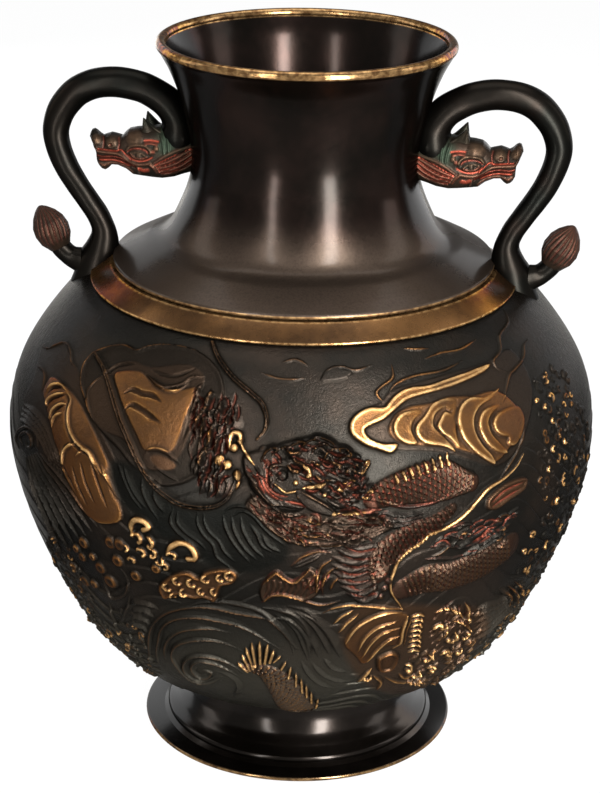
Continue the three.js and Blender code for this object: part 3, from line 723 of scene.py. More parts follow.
def curl(centre, size, start, spin, height, wear):
    """A foam curl of a size in mm at a place of the relief: a ridge that winds in to a knob."""
    turn = start + spin * np.linspace(0, 3.6, 6)
    reach = size * np.linspace(1, 0.35, 6) / relief.scale_at(centre)
    path = centre + np.stack([reach * np.cos(turn), reach * np.sin(turn)], 1)
    relief.line(path, 0.75 * size, height, wear=wear, taper=(0.4, 1))
    relief.dome(path[-1], 0.42 * size, height + 0.3, wear=wear)


def hook(pixel, size, start, spin, height, wear):
    """A foam curl at a pixel, which starts at an angle in degrees and winds one way or the other."""
    curl(relief.from_photo([pixel])[0], size, math.radians(start), spin, height, wear)


def foam(corners, pitch, size, wear, seed, height=1.2):
    """Foam spread over a polygon, a pitch in mm apart: curls, and a round drop here and there."""
    corners = relief.from_photo(corners)
    low, high = corners.min(0), corners.max(0)
    chance = np.random.RandomState(seed)
    up, row = low[1], 0
    while up < high[1]:
        scale = relief.scale_at((0, up))
        across = low[0] + (row % 2) * 0.5 * pitch / scale
        while across < high[0]:
            place = np.array([across, up]) + chance.uniform(-0.3, 0.3, 2) * pitch / scale
            grown = chance.uniform(0.7, 1.3)
            worn = wear * chance.uniform(0, 1.3) ** 3
            start = math.radians(chance.uniform(0, 360))
            drop = chance.randint(3) == 0
            if relief.inside(place[0], place[1], corners):
                if drop:
                    relief.dome(place, size * grown, height, wear=worn, hollow=0.6)
                else:
                    curl(place, size * grown, start, (-1) ** row, height * grown, worn)
            across += pitch / scale
        up += 0.85 * pitch / scale
        row += 1


def strands(corners, way, length, pitch, width, height, wear, red, seed):
    """Wavy strands over a polygon along a way in degrees, a ridge and a groove in turn, like fur."""
    corners = relief.from_photo(corners)
    chance = np.random.RandomState(seed)
    low, high = corners.min(0), corners.max(0)
    scale = relief.scale_at(corners.mean(0))
    count = int(np.prod(high - low) * scale ** 2 / pitch ** 2)
    for number, place in enumerate(chance.uniform(low, high, (count, 2))):
        lean = math.radians(way) + chance.uniform(-0.2, 0.2)
        turn = lean + chance.uniform(-1.1, 1.1) * np.linspace(-1, 1, 4)
        worn = wear * chance.uniform(0, 1.3) ** 2
        if relief.inside(place[0], place[1], corners):
            step = length / scale / 4 * np.stack([np.cos(turn), np.sin(turn)], 1)
            path = place + np.cumsum(step, 0)
            if number % 2:
                relief.line(path, width, height, wear=worn, taper=(0.4, 0.1))
            else:
                relief.line(path, 0.7 * width, -0.8 * height, red=red, taper=(0.4, 0.1))


def tassel(base, tips, width, height, red, wear=0.4, bend=0.15):
    """Pointed strands from a base line to their tips."""
    share = np.linspace(0, 1, len(tips))
    base, tips = np.asarray(base, float), np.asarray(tips, float)
    steps = np.linspace(0, 1, len(base))
    starts = np.stack([np.interp(share, steps, base[:, 0]), np.interp(share, steps, base[:, 1])], 1)
    for start, tip in zip(starts, tips):
        aside = bend * np.array([tip[1] - start[1], start[0] - tip[0]])
        ridge([start, (start + tip) / 2 + aside, tip], width, height, wear=wear, red=red, taper=(1, 0.15))


# Swells of the ripples: how often each goes round the body, and how fast it shifts upwards
SWELLS = ((2, 1.5), (3, -2.2), (5, 3.1), (8, -4.2), (12, 6.0), (17, -7.5))
# Where the ripples end above, over what height they fade, and how high they stand, in mm
RIPPLE_TOP, RIPPLE_FADE = 218, 30
RIPPLE_HEIGHT = 1.3


def ripples():
    """Stepped, flowing lines over the body but its plain upper part."""
    across = np.arange(relief.columns) * relief.pitch - np.pi
    a, b = np.meshgrid(across, relief.up)
    swell = np.zeros(a.shape)
    chance = np.random.RandomState(11)
    for turns, rise in SWELLS:
        swell += 1.5 / turns * np.sin(turns * a + rise * b + chance.uniform(0, 2 * np.pi))
    step = 14 * b + 2.6 * swell
    saw = step - np.floor(step)
    saw = np.minimum(saw, 8 * (1 - saw))
    lower = np.clip((RIPPLE_TOP - relief.z) / RIPPLE_FADE, 0, 1)[:, None]
    relief.height += RIPPLE_HEIGHT * saw * lower * (0.65 + 0.35 * np.sin(3 * a + 2 * swell))


# The relief as seen in the photograph, in its pixels from the upper left corner

def outer_left_cloud():
    """The cloud at the left edge: a bank with a worn panel, folds and a lobe."""
    bank = [
        (44, 344), (50, 349), (57, 345), (64, 343), (69, 350), (72, 362), (79, 372), (84, 394), (98, 424),
        (122, 480), (104, 520), (60, 480), (24, 404), (34, 380), (38, 365),
    ]
    field(bank, height=0.7, edge=1.0, brown=0.3, dark=0.4)
    bank_edges = [
        [(43, 347), (49, 349), (57, 346), (66, 343), (71, 351), (72, 361), (79, 371)],
        [(38, 365), (45, 372), (46, 380), (43, 392)],
    ]
    ridges(bank_edges, width=1.7, height=0.9, wear=0.35)
    panel = [
        (54, 378), (49, 384), (46, 393), (49, 407), (52, 422), (56, 437), (60, 452), (66, 472), (74, 489),
        (83, 506), (95, 519), (104, 523), (123, 519), (121, 502), (117, 483), (110, 464), (102, 445),
        (94, 428), (82, 405), (70, 390),
    ]
    field(panel, height=1.7, edge=1.2, wear=0.62, brown=1.0, crown=0.8, face=1.0)
    panel_folds = [
        [(70, 393), (74, 401), (72, 412), (73, 426), (77, 437), (83, 445), (93, 452), (100, 464),
         (106, 474), (114, 472)],
        [(79, 456), (87, 450), (95, 454), (98, 464), (102, 474)],
        [(66, 470), (66, 458), (68, 450), (74, 445), (81, 443)],
        [(104, 465), (111, 480), (120, 497), (130, 508)],
    ]
    ridges(panel_folds, width=2.2, height=1.3, wear=0.25)
    panel_grooves = [
        [(68, 395), (71, 402), (69, 412), (70, 427), (74, 439), (81, 448), (91, 455), (98, 466)],
        [(49, 412), (51, 404), (58, 399), (68, 396)], [(53, 421), (58, 412), (66, 407)],
        [(50, 395), (57, 389), (64, 389)], [(64, 470), (64, 457), (67, 448), (73, 443)],
        [(58, 440), (62, 456), (70, 474), (80, 492)], [(84, 462), (88, 480), (98, 502)],
        [(94, 462), (101, 482), (110, 506)], [(76, 466), (80, 482), (90, 504)],
    ]
    grooves(panel_grooves, width=2.2, depth=1.0)
    panel_crests = [
        [(48, 410), (50, 402), (57, 397), (68, 394)], [(52, 419), (57, 410), (66, 405), (71, 406)],
        [(55, 428), (58, 418), (67, 413)], [(49, 392), (56, 386), (64, 386), (69, 392)],
    ]
    ridges(panel_crests, width=2.0, height=1.2)


def inner_left_cloud():
    """The cloud right of it: a broad bank, a shelf on it, and a worn panel on that."""
    bank = [
        (100, 351), (112, 347), (127, 346), (138, 351), (150, 347), (173, 346), (198, 352), (220, 372),
        (225, 400), (215, 440), (195, 478), (150, 484), (120, 450), (96, 424), (84, 396), (82, 382),
        (85, 366), (93, 355),
    ]
    field(bank, height=0.8, edge=1.0, brown=0.2, rim=0.5, dark=0.55)
    bank_edge = [
        (96, 424), (88, 401), (82, 382), (86, 365), (93, 355), (102, 351), (112, 347), (127, 346),
        (138, 351), (150, 347), (173, 346), (198, 352),
    ]
    ridge(bank_edge, width=1.8, height=1.0, wear=0.4)
    shelf = [
        (104, 376), (116, 365), (135, 362), (150, 368), (190, 366), (205, 378), (200, 395), (192, 430),
        (176, 462), (150, 470), (125, 440), (108, 432), (97, 423), (91, 411), (89, 398), (94, 385),
    ]
    field(shelf, height=1.3, edge=1.2, brown=0.4, dark=0.35)
    shelf_grooves = [
        [(108, 380), (112, 372), (122, 366), (136, 365)],
        [(150, 369), (162, 375), (176, 377), (196, 370)], [(186, 398), (182, 414), (178, 430)],
        [(190, 400), (190, 420), (184, 440)],
    ]
    grooves(shelf_grooves, width=2.4, depth=0.9)
    shelf_edge = [(96, 422), (91, 410), (89, 400), (90, 391), (95, 384), (104, 376)]
    ridge(shelf_edge, width=1.8, height=0.9, wear=0.35)
    panel = [
        (117, 375), (127, 372), (142, 373), (150, 380), (158, 386), (167, 391), (183, 391), (198, 389),
        (192, 405), (185, 422), (181, 437), (173, 452), (158, 449), (146, 450), (139, 437), (129, 416),
        (121, 395),
    ]
    field(panel, height=1.9, edge=1.6, wear=0.66, brown=1.0, crown=0.6, face=1.0)
    panel_grooves = [
        [(126, 395), (134, 391), (144, 395), (154, 397), (163, 403)],
        [(126, 411), (133, 406), (142, 410), (154, 418), (162, 424)],
    ]
    grooves(panel_grooves, width=3.4, depth=1.4)
    panel_foot = [(146, 454), (152, 450), (162, 450), (171, 454), (180, 463)]
    ridge(panel_foot, width=2.6, height=1.2)
    panel_top = [
        [(147, 374), (153, 380), (161, 387), (171, 388), (184, 385), (192, 379), (205, 377)],
        [(150, 377), (158, 384), (168, 391), (180, 391), (190, 384)],
    ]
    ridges(panel_top, width=2.2, height=1.4, wear=0.1)
    small_lobe = [(152, 458), (160, 455), (170, 459), (177, 466), (172, 470), (160, 468)]
    field(small_lobe, height=1.2, edge=1.0, brown=0.9, crown=0.6, wear=0.2)


def left_edge_waves():
    """Combed water and a swirl at the left edge."""
    upper_first = [(24, 404), (35, 412), (46, 425), (54, 442), (60, 462), (66, 486)]
    upper_last = [(21, 420), (31, 425), (40, 436), (47, 449), (52, 462), (58, 476)]
    bundle(upper_first, upper_last, count=4, width=4.5, height=2.6)
    swirl = [
        [(24, 447), (21, 438), (27, 432), (33, 437), (33, 445), (28, 447), (26, 441)],
        [(20, 449), (17, 438), (22, 429), (31, 428), (38, 436), (40, 448)],
    ]
    ridges(swirl, width=2.0, height=1.5, wear=0.2)
    long_first = [(27, 458), (34, 482), (43, 506), (54, 532), (62, 552)]
    long_last = [(40, 452), (58, 470), (75, 491), (88, 511), (98, 527)]
    bundle(long_first, long_last, count=7, width=5.5, height=3.0, flip=True)
    inner_first = [(42, 450), (60, 464), (77, 482), (92, 502), (104, 522)]
    inner_last = [(50, 452), (66, 463), (84, 480), (98, 498), (110, 514)]
    bundle(inner_first, inner_last, count=3, width=3.0, height=1.8, flip=True)


def dark_waves():
    """Ripples on dark ground below the head."""
    ground = [
        (112, 462), (140, 468), (170, 500), (196, 506), (222, 506), (246, 501), (264, 514), (290, 540),
        (284, 562), (250, 573), (222, 571), (196, 556), (168, 540), (140, 520), (120, 500),
    ]
    field(ground, height=0.2, edge=5, dark=0.85)
    flows = [
        [(118, 464), (123, 475), (129, 489), (135, 500), (141, 509)],
        [(124, 467), (129, 480), (136, 494), (146, 508)],
        [(142, 479), (144, 493), (150, 506), (158, 519)], [(154, 491), (156, 500), (164, 512)],
        [(173, 510), (171, 521), (179, 533), (192, 542), (200, 549)],
        [(178, 512), (178, 522), (186, 532), (198, 541), (206, 550)],
        [(198, 512), (198, 523), (204, 535), (213, 544), (217, 556), (227, 565), (236, 571)],
        [(204, 513), (205, 523), (210, 532), (219, 541), (225, 552), (235, 562)],
        [(223, 514), (225, 525), (230, 537), (236, 546), (250, 563)],
        [(232, 516), (233, 526), (238, 538), (244, 547), (256, 560)],
        [(241, 517), (242, 527), (247, 538), (253, 547), (264, 558)],
        [(223, 514), (230, 508), (242, 506), (255, 512), (265, 521), (276, 531), (289, 538)],
        [(232, 516), (243, 511), (253, 516), (262, 526), (272, 536), (284, 545)],
        [(250, 524), (257, 534), (262, 545), (272, 552)], [(262, 534), (268, 545), (280, 552)],
    ]
    waves(flows, width=4.5, height=0.9, wear=0.05)
    ridges(flows, width=2.0, height=0.7, wear=0.1)
    under_cloud = [
        [(142, 466), (150, 474), (160, 482), (168, 486)],
        [(150, 462), (160, 470), (172, 478), (184, 483)],
    ]
    waves(under_cloud, width=4, height=1.8)


def left_foam():
    """Two worn crests with curls, and round drops left of them."""
    tall_crest = [(134, 536), (133, 524), (138, 519), (146, 521), (150, 526), (145, 529)]
    ridge(tall_crest, width=4.4, height=2.4, wear=1.0, taper=(0.4, 0.9))
    broad_crest = [(168, 553), (172, 546), (180, 542), (188, 543), (195, 550), (196, 557), (189, 558)]
    ridge(broad_crest, width=4.4, height=2.4, wear=1.0, taper=(0.5, 0.9))
    curls = (
        (139, 539, 4.0, 150), (150, 543, 4.0, 120), (143, 553, 3.6, 170), (153, 553, 3.4, 100),
        (160, 560, 3.2, 60), (174, 556, 3.2, 180), (134, 560, 3.0, 200), (166, 566, 3.0, 120),
        (127, 548, 3.0, 160),
    )
    for x, y, size, start in curls:
        hook((x, y), size=size, start=start, spin=-1, height=1.8, wear=0.75)
    drops = (
        (112, 542, 3.6), (121, 544, 3.6), (119, 560, 3.6), (102, 567, 3.8), (137, 575, 3.2),
        (85, 542, 3.4), (84, 556, 3.0), (87, 580, 3.6), (96, 583, 2.8), (78, 548, 2.6), (157, 568, 2.8),
        (76, 566, 2.6), (94, 556, 2.4),
    )
    for x, y, size in drops:
        bulb((x, y), radius=1.2 * size, height=2.4, wear=0.7, hollow=0.3)
    large_drop = (112, 580)
    bulb(large_drop, radius=5.2, height=2.8, wear=0.7, hollow=0.35)
    drop_edges = [
        [(103, 572), (108, 590), (114, 597), (124, 595), (129, 586), (126, 574), (120, 566)],
        [(110, 602), (116, 622), (126, 642)], [(130, 596), (128, 608), (122, 624)],
    ]
    ridges(drop_edges, width=2.2, height=1.2, wear=0.15)


def left_spray():
    """A worn patch of small curls, and the foam at the left edge."""
    patch = [
        (160, 586), (168, 577), (180, 571), (190, 571), (199, 576), (205, 571), (216, 568), (230, 568),
        (238, 574), (233, 582), (222, 585), (216, 599), (205, 596), (195, 597), (180, 593), (166, 597),
    ]
    field(patch, height=1.7, edge=1.4, wear=0.35, brown=1.0, rim=0.8)
    patch_curls = (
        (170, 586, 3.2), (180, 580, 3.2), (186, 591, 2.8), (194, 582, 3.4), (203, 590, 2.8),
        (208, 578, 3.0), (216, 590, 2.6), (222, 577, 2.8), (231, 575, 3.2), (176, 594, 2.4),
    )
    for x, y, size in patch_curls:
        hook((x, y), size=size, start=90, spin=1, height=1.3, wear=0.9)
    fringe_first = [(132, 604), (140, 602), (150, 604), (160, 610)]
    fringe_last = [(130, 622), (138, 624), (146, 628), (152, 636)]
    bundle(fringe_first, fringe_last, count=4, width=4, height=2.2)
    outer_foam = [
        (56, 528), (70, 540), (82, 570), (92, 596), (108, 624), (128, 652), (150, 680), (120, 665),
        (84, 622), (62, 580), (48, 545),
    ]
    foam(outer_foam, pitch=7.5, size=2.6, wear=0.6, seed=2, height=1.0)
    inner_foam = [(120, 604), (134, 610), (146, 632), (150, 652), (160, 680), (140, 668), (120, 636)]
    foam(inner_foam, pitch=7.5, size=2.6, wear=0.5, seed=3)


def whirlpool():
    """The whirlpool at the bottom, and the water that flows from it to the right."""
    basin = [
        (148, 640), (158, 616), (180, 604), (210, 600), (245, 603), (280, 606), (310, 612), (335, 632),
        (352, 662), (340, 690), (300, 704), (240, 706), (190, 698), (162, 674),
    ]
    field(basin, height=0.5, edge=3)
    rims = [
        [(154, 668), (151, 654), (151, 639), (153, 627), (159, 618), (169, 611), (183, 607), (201, 605),
         (219, 607), (236, 611), (254, 614), (270, 618), (281, 629), (290, 641), (294, 654)],
        [(160, 664), (158, 652), (160, 640), (163, 628), (171, 620), (184, 616), (201, 616), (219, 619),
         (236, 623), (254, 632), (268, 641), (279, 648)],
        [(166, 660), (166, 649), (170, 638), (181, 630), (197, 627), (214, 628), (230, 632)],
        [(242, 650), (230, 644), (219, 640), (201, 638), (186, 640), (176, 645), (173, 654), (178, 664),
         (188, 675), (200, 681), (213, 681), (222, 676)],
        [(243, 672), (233, 664), (219, 657), (204, 654), (193, 655), (185, 661), (186, 670), (194, 677),
         (204, 680), (214, 677)],
        [(238, 675), (227, 668), (213, 661), (201, 659), (193, 663), (194, 670), (201, 676), (210, 675),
         (212, 671), (206, 669), (200, 671)],
    ]
    waves(rims, width=6, height=1.6, wear=0.1)
    ridges(rims, width=2.4, height=1.0, wear=0.22)
    outer_turns = [
        [(152, 670), (163, 680), (178, 690), (194, 697), (219, 701), (245, 702)],
        [(215, 671), (226, 673), (235, 679), (238, 686), (233, 695)],
    ]
    waves(outer_turns, width=5, height=1.8, wear=0.1)
    upper_flow = [
        [(180, 606), (208, 600), (238, 603), (262, 611), (282, 627), (296, 648)],
        [(263, 607), (278, 609), (294, 614), (306, 626), (312, 646)],
        [(272, 618), (286, 618), (299, 627), (307, 640), (309, 656)],
        [(300, 612), (316, 620), (330, 636), (340, 656)],
    ]
    ridges(upper_flow, width=3.0, height=1.5, wear=0.12)
    right_first = [(272, 612), (286, 620), (296, 631), (302, 644), (308, 660)]
    right_last = [(288, 606), (304, 610), (320, 622), (332, 638), (342, 656)]
    bundle(right_first, right_last, count=4, width=4.5, height=1.8, wear=0.1)
    tail_flow = [
        [(300, 658), (306, 671), (319, 683), (335, 688)],
        [(310, 660), (320, 673), (336, 680), (352, 680)], [(322, 656), (332, 668), (348, 672)],
    ]
    waves(tail_flow, width=4.5, height=1.6, wear=0.1)


def right_cloud():
    """The gold cloud: shells in a row under a ribbon, and thin wisps about it."""
    wisps = [
        [(391, 365), (392, 378), (380, 388), (376, 394), (386, 405)],
        [(425, 359), (440, 354), (460, 350), (476, 340)], [(404, 349), (416, 350), (428, 349)],
    ]
    ridges(wisps, width=2.0, height=1.1, wear=0.5)
    long_wisp = [(386, 398), (394, 386), (413, 377), (443, 371), (462, 361)]
    ridge(long_wisp, width=2.2, height=1.2, wear=0.4)
    bank = [
        (352, 420), (364, 410), (380, 404), (390, 392), (414, 384), (450, 374), (488, 362), (510, 350),
        (530, 380), (527, 425), (512, 455), (495, 466), (470, 460), (440, 452), (396, 450), (376, 449),
        (356, 438),
    ]
    field(bank, height=0.7, edge=1.4, brown=0.15)
    shell_ground = [
        (388, 432), (394, 416), (408, 408), (430, 404), (446, 398), (470, 397), (496, 392), (515, 407),
        (521, 420), (517, 435), (507, 449), (494, 462), (478, 456), (450, 448), (420, 446), (398, 443),
    ]
    field(shell_ground, height=1.5, edge=1.4, wear=0.62, brown=1.0, face=1.0)
    ribbon = [
        (386, 405), (394, 396), (407, 389), (427, 386), (453, 377), (488, 365), (486, 370), (464, 382),
        (440, 391), (420, 396), (406, 401), (394, 411), (382, 421), (368, 427), (364, 431), (368, 438),
        (382, 444), (397, 445), (391, 453), (378, 450), (362, 444), (350, 433), (351, 420), (366, 409),
        (384, 408),
    ]
    field(ribbon, height=2.4, edge=1.3, wear=0.95, brown=1.0, rim=0.2, tilt=0.6, face=0.82)
    shells = [
        [(392, 426), (398, 416), (408, 412), (423, 411), (413, 421), (410, 431), (416, 444), (402, 443),
         (394, 436)],
        [(414, 428), (423, 417), (431, 405), (445, 399), (456, 401), (449, 412), (444, 409), (434, 415),
         (432, 427), (440, 435), (450, 446), (454, 452), (443, 447), (423, 444), (415, 437)],
        [(438, 420), (443, 413), (450, 414), (453, 405), (458, 412), (454, 430), (458, 448), (449, 440),
         (440, 434), (435, 427)],
        [(455, 420), (458, 407), (468, 399), (482, 398), (498, 389), (491, 398), (478, 408), (472, 419),
         (473, 432), (480, 445), (490, 456), (493, 464), (480, 458), (466, 446), (459, 436)],
        [(476, 424), (480, 413), (489, 407), (500, 405), (491, 413), (486, 423), (489, 434), (498, 444),
         (506, 453), (495, 452), (484, 444), (478, 434)],
        [(490, 424), (494, 416), (503, 410), (517, 407), (523, 418), (520, 434), (511, 446), (505, 443),
         (506, 438), (498, 436), (492, 431)],
    ]
    shell_wear = (1.0, 1.0, 0.95, 0.95, 0.85, 0.7)
    for shell, wear in zip(shells, shell_wear):
        field(shell, height=3.2, edge=0.9, wear=0.9 * wear, brown=1.0, rim=0.1, tilt=2.0, face=0.82)
    thin_lines = [
        [(528, 339), (524, 345), (523, 357), (514, 370), (508, 376), (504, 395), (500, 403)],
        [(504, 310), (508, 322), (499, 337), (500, 350), (492, 362), (496, 369), (506, 373)],
        [(524, 425), (518, 448), (508, 466), (500, 478)],
        [(321, 380), (327, 371), (341, 367), (355, 371), (372, 365)],
        [(260, 372), (275, 378), (290, 380), (305, 378)], [(283, 362), (296, 360), (308, 366)],
    ]
    ridges(thin_lines, width=2.0, height=1.0, wear=0.3)
    small_cloud = [(321, 381), (326, 373), (338, 369), (352, 373), (345, 379), (332, 381)]
    field(small_cloud, height=1.0, edge=1.0)


def dragon_coils():
    """The dragon's body winds from the head to the right, round behind the waves and back."""
    upper_spine = [(374, 498), (392, 491), (415, 485), (440, 481), (470, 482)]
    upper_half_widths = [6, 8.5, 10.5, 10.5, 5]
    scaled(upper_spine, upper_half_widths, pitch=3.4, height=3.4, wear=0.2, red=0.3)
    belly_line = [(366, 499), (380, 500), (394, 505), (409, 507), (425, 505), (440, 500), (449, 493)]
    ridge(belly_line, width=2.0, height=1.0, red=0.9)
    spike_base = [(396, 482), (446, 464)]
    spike_tips = [
        (394, 474), (401, 470), (408, 466), (415, 463), (423, 460), (431, 457), (439, 454), (446, 452),
    ]
    tassel(spike_base, spike_tips, width=2.4, height=1.7, wear=0.65, red=0, bend=0)
    hair_first = [(455, 474), (466, 474), (476, 476)]
    hair_last = [(448, 494), (460, 490), (472, 486)]
    bundle(hair_first, hair_last, count=5, width=3.0, height=2.6, red=0.2)
    middle_spine = [(452, 508), (432, 524), (410, 536), (392, 548), (380, 560), (378, 574)]
    middle_half_widths = [2.5, 4.5, 6.5, 8, 8, 5]
    scaled(middle_spine, middle_half_widths, pitch=3.2, height=3.2, wear=0.14, red=0.2)
    lower_spine = [(404, 588), (425, 579), (448, 576), (470, 568), (490, 557), (506, 547)]
    lower_half_widths = [7, 9.5, 9.5, 10.5, 11, 9]
    scaled(lower_spine, lower_half_widths, pitch=3.3, height=3.2, wear=0.25, red=0.15)
    hip_first = [(462, 556), (478, 546), (494, 536), (508, 530)]
    hip_last = [(470, 560), (486, 549), (500, 540), (512, 536)]
    bundle(hip_first, hip_last, count=3, width=3.0, height=2.4)


def dragon_fins():
    """The fin left of the lower coil, the long tendril, and hair on the back."""
    fin_base = [(374, 545), (369, 568), (375, 594)]
    fin_tips = [
        (341, 541), (336, 548), (332, 556), (331, 564), (333, 572), (336, 579), (340, 586), (346, 592),
        (354, 598),
    ]
    tassel(fin_base, fin_tips, width=4.4, height=2.0, wear=0.05, red=0.1)
    cut_base = [(375, 547), (371, 568), (376, 592)]
    cut_tips = [(344, 545), (339, 552), (336, 560), (337, 568), (339, 575), (343, 582), (348, 589)]
    tassel(cut_base, cut_tips, width=1.2, height=-1.2, red=0.35)
    tendril = [
        (523, 454), (515, 467), (502, 479), (486, 489), (474, 503), (458, 519), (443, 528), (427, 532),
        (419, 540), (404, 550), (398, 558), (394, 568), (390, 580), (391, 592), (398, 602), (402, 609),
    ]
    ridge(tendril, width=2.8, height=2.0, wear=0.8)
    leaf_patch = [
        (486, 500), (494, 491), (507, 482), (525, 478), (523, 488), (509, 499), (494, 509), (486, 508),
    ]
    field(leaf_patch, height=1.6, edge=1.2, brown=0.8, rim=0.6)
    leaf_cuts = [[(490, 502), (502, 491), (520, 482)], [(490, 506), (504, 497), (518, 488)]]
    ridges(leaf_cuts, width=1.5, height=-0.9, red=1.0)
    back_lines = [
        [(430, 547), (444, 545), (461, 547), (478, 541), (494, 531), (507, 526)],
        [(425, 559), (440, 558), (452, 558), (462, 555)], [(450, 535), (460, 537), (472, 535)],
        [(448, 528), (462, 524), (475, 524)],
    ]
    ridges(back_lines, width=1.8, height=1.2, red=0.8)
    neck_first = [(382, 513), (401, 516), (422, 514)]
    neck_last = [(372, 522), (394, 526), (420, 520)]
    bundle(neck_first, neck_last, count=3, width=3.0, height=2.2, red=0.3)
    knobs = ((372, 572), (378, 580), (384, 572), (374, 588), (384, 588), (380, 596), (388, 580))
    for x, y in knobs:
        bulb((x, y), radius=2.0, height=1.6, wear=0.25, red=0.6)
    hair = [(424, 556), (440, 540), (470, 530), (505, 516), (512, 530), (480, 548), (450, 556)]
    strands(hair, way=20, length=14, pitch=3.8, width=2.0, height=1.0, wear=0.2, red=0.5, seed=25)


def lower_jaw():
    """The jaw below the head and its mane, with a small eye."""
    jaw = [
        (246, 504), (259, 517), (272, 529), (288, 539), (306, 544), (328, 544), (343, 542), (372, 536),
        (392, 526), (384, 516), (350, 512), (320, 510), (290, 508), (262, 492),
    ]
    field(jaw, height=1.6, edge=2.0, brown=0.25, crown=0.8)
    jaw_top = [(341, 513), (360, 512), (381, 510)]
    ridge(jaw_top, width=2.4, height=1.4, wear=0.5, red=0.5)
    mane_first = [(322, 520), (345, 522), (372, 521), (396, 515)]
    mane_last = [(300, 540), (328, 544), (358, 540), (392, 527)]
    bundle(mane_first, mane_last, count=5, width=4.0, height=3.4, red=0.15)
    mane = [
        (250, 504), (264, 518), (280, 530), (300, 540), (340, 540), (390, 524), (372, 514), (320, 514),
        (286, 512), (262, 494),
    ]
    strands(mane, way=-8, length=15, pitch=3.3, width=2.0, height=1.1, wear=0.12, red=0.2, seed=23)
    jaw_edge = [(246, 504), (259, 517), (272, 529), (288, 539), (306, 544), (328, 544), (343, 542)]
    ridge(jaw_edge, width=2.0, height=1.2, wear=0.2)
    small_eye = [
        [(304, 514), (309, 511), (315, 513), (319, 517), (316, 523), (309, 525)],
        [(299, 523), (303, 531), (311, 535), (320, 533)],
        [(294, 520), (296, 532), (305, 540), (318, 541)],
    ]
    ridges(small_eye, width=2.0, height=1.3, wear=0.3, red=0.6)
    pupil = (310, 518)
    bulb(pupil, radius=2.2, height=1.8, wear=0.5)


def claw():
    """The claw left of the fin, and leaves about it."""
    palm = [
        (262, 584), (269, 576), (277, 571), (284, 576), (293, 580), (303, 574), (310, 567), (318, 574),
        (318, 592), (306, 599), (294, 596), (277, 595), (264, 600), (260, 592),
    ]
    field(palm, height=1.4, edge=1.4, brown=0.4, rim=0.6)
    cut_base = [(268, 578), (290, 583), (308, 577)]
    cut_tips = [
        (264, 596), (270, 594), (276, 592), (282, 592), (288, 593), (294, 594), (300, 595), (306, 596),
    ]
    tassel(cut_base, cut_tips, width=1.5, height=0.8, wear=0.1, red=0.5)
    edges = [
        [(262, 584), (269, 576), (277, 571), (284, 576), (293, 580), (303, 574), (310, 567)],
        [(262, 602), (270, 594), (282, 592), (296, 596), (308, 601), (322, 604), (340, 600)],
        [(334, 558), (322, 565), (317, 577), (316, 590)],
        [(337, 566), (328, 572), (322, 582), (323, 594)], [(340, 575), (333, 581), (330, 590)],
        [(291, 566), (302, 556), (318, 551), (330, 552)],
    ]
    ridges(edges, width=2.0, height=1.3, wear=0.35, red=0.5)
    leaves = (
        ((304, 588), (320, 568), 4.6, 1.6, 0.3, 0.4),
        ((290, 568), (322, 553), 4.2, 1.5, 0.15, 0),
        ((310, 592), (330, 574), 3.4, 1.4, 0.2, 0.5),
    )
    for start, end, width, height, wear, red in leaves:
        leaf(start, end, width, height, wear, red)


def head_crown():
    """The skull, covered in locks of hair."""
    skull = [
        (244, 458), (256, 452), (268, 450), (282, 444), (298, 440), (314, 437), (328, 440), (342, 448),
        (352, 460), (362, 470), (366, 486), (358, 500), (340, 508), (322, 512), (300, 514), (282, 510),
        (266, 500), (254, 486), (246, 472),
    ]
    field(skull, height=2.2, edge=2.6, crown=1.0)
    forehead = [(246, 462), (262, 452), (282, 460), (270, 482), (262, 490), (252, 480)]
    strands(forehead, way=-50, length=7, pitch=2.6, width=1.8, height=1.0, wear=0.12, red=0.4, seed=27)
    under_snout = [(246, 480), (262, 496), (286, 516), (302, 540), (284, 538), (260, 516), (246, 500)]
    strands(under_snout, way=-45, length=8, pitch=2.6, width=1.8, height=1.0, wear=0.1, red=0.2, seed=28)
    locks = [
        [(262, 470), (264, 458), (272, 450), (284, 449)],
        [(270, 462), (276, 453), (288, 448), (298, 452)],
        [(284, 458), (292, 447), (304, 444), (312, 450)],
        [(298, 458), (304, 446), (314, 441), (324, 446)],
        [(310, 460), (314, 450), (324, 445), (333, 452)],
        [(322, 466), (326, 455), (336, 450), (344, 458)],
        [(334, 472), (338, 461), (347, 457), (353, 466)],
        [(342, 480), (347, 469), (355, 466), (361, 474)],
        [(309, 444), (316, 439), (325, 441), (334, 447), (335, 453)],
        [(331, 454), (337, 450), (346, 451), (349, 458), (343, 464)],
        [(322, 478), (332, 470), (344, 468)], [(316, 470), (322, 462), (331, 460)],
    ]
    waves(locks, width=3.2, height=4.4, wear=0.25, red=0.25)
    hair = [
        (256, 466), (262, 452), (284, 444), (312, 438), (336, 446), (354, 462), (364, 480), (346, 504),
        (318, 498), (300, 480), (292, 464), (272, 462),
    ]
    strands(hair, way=-25, length=11, pitch=3.3, width=2.6, height=1.7, wear=0.16, red=0.2, seed=21)
    upper_curl = (314, 452)
    hook(upper_curl, size=3.0, start=200, spin=-1, height=1.0, wear=0.1)
    rear_curl = (328, 460)
    hook(rear_curl, size=2.6, start=200, spin=-1, height=1.0, wear=0.1)


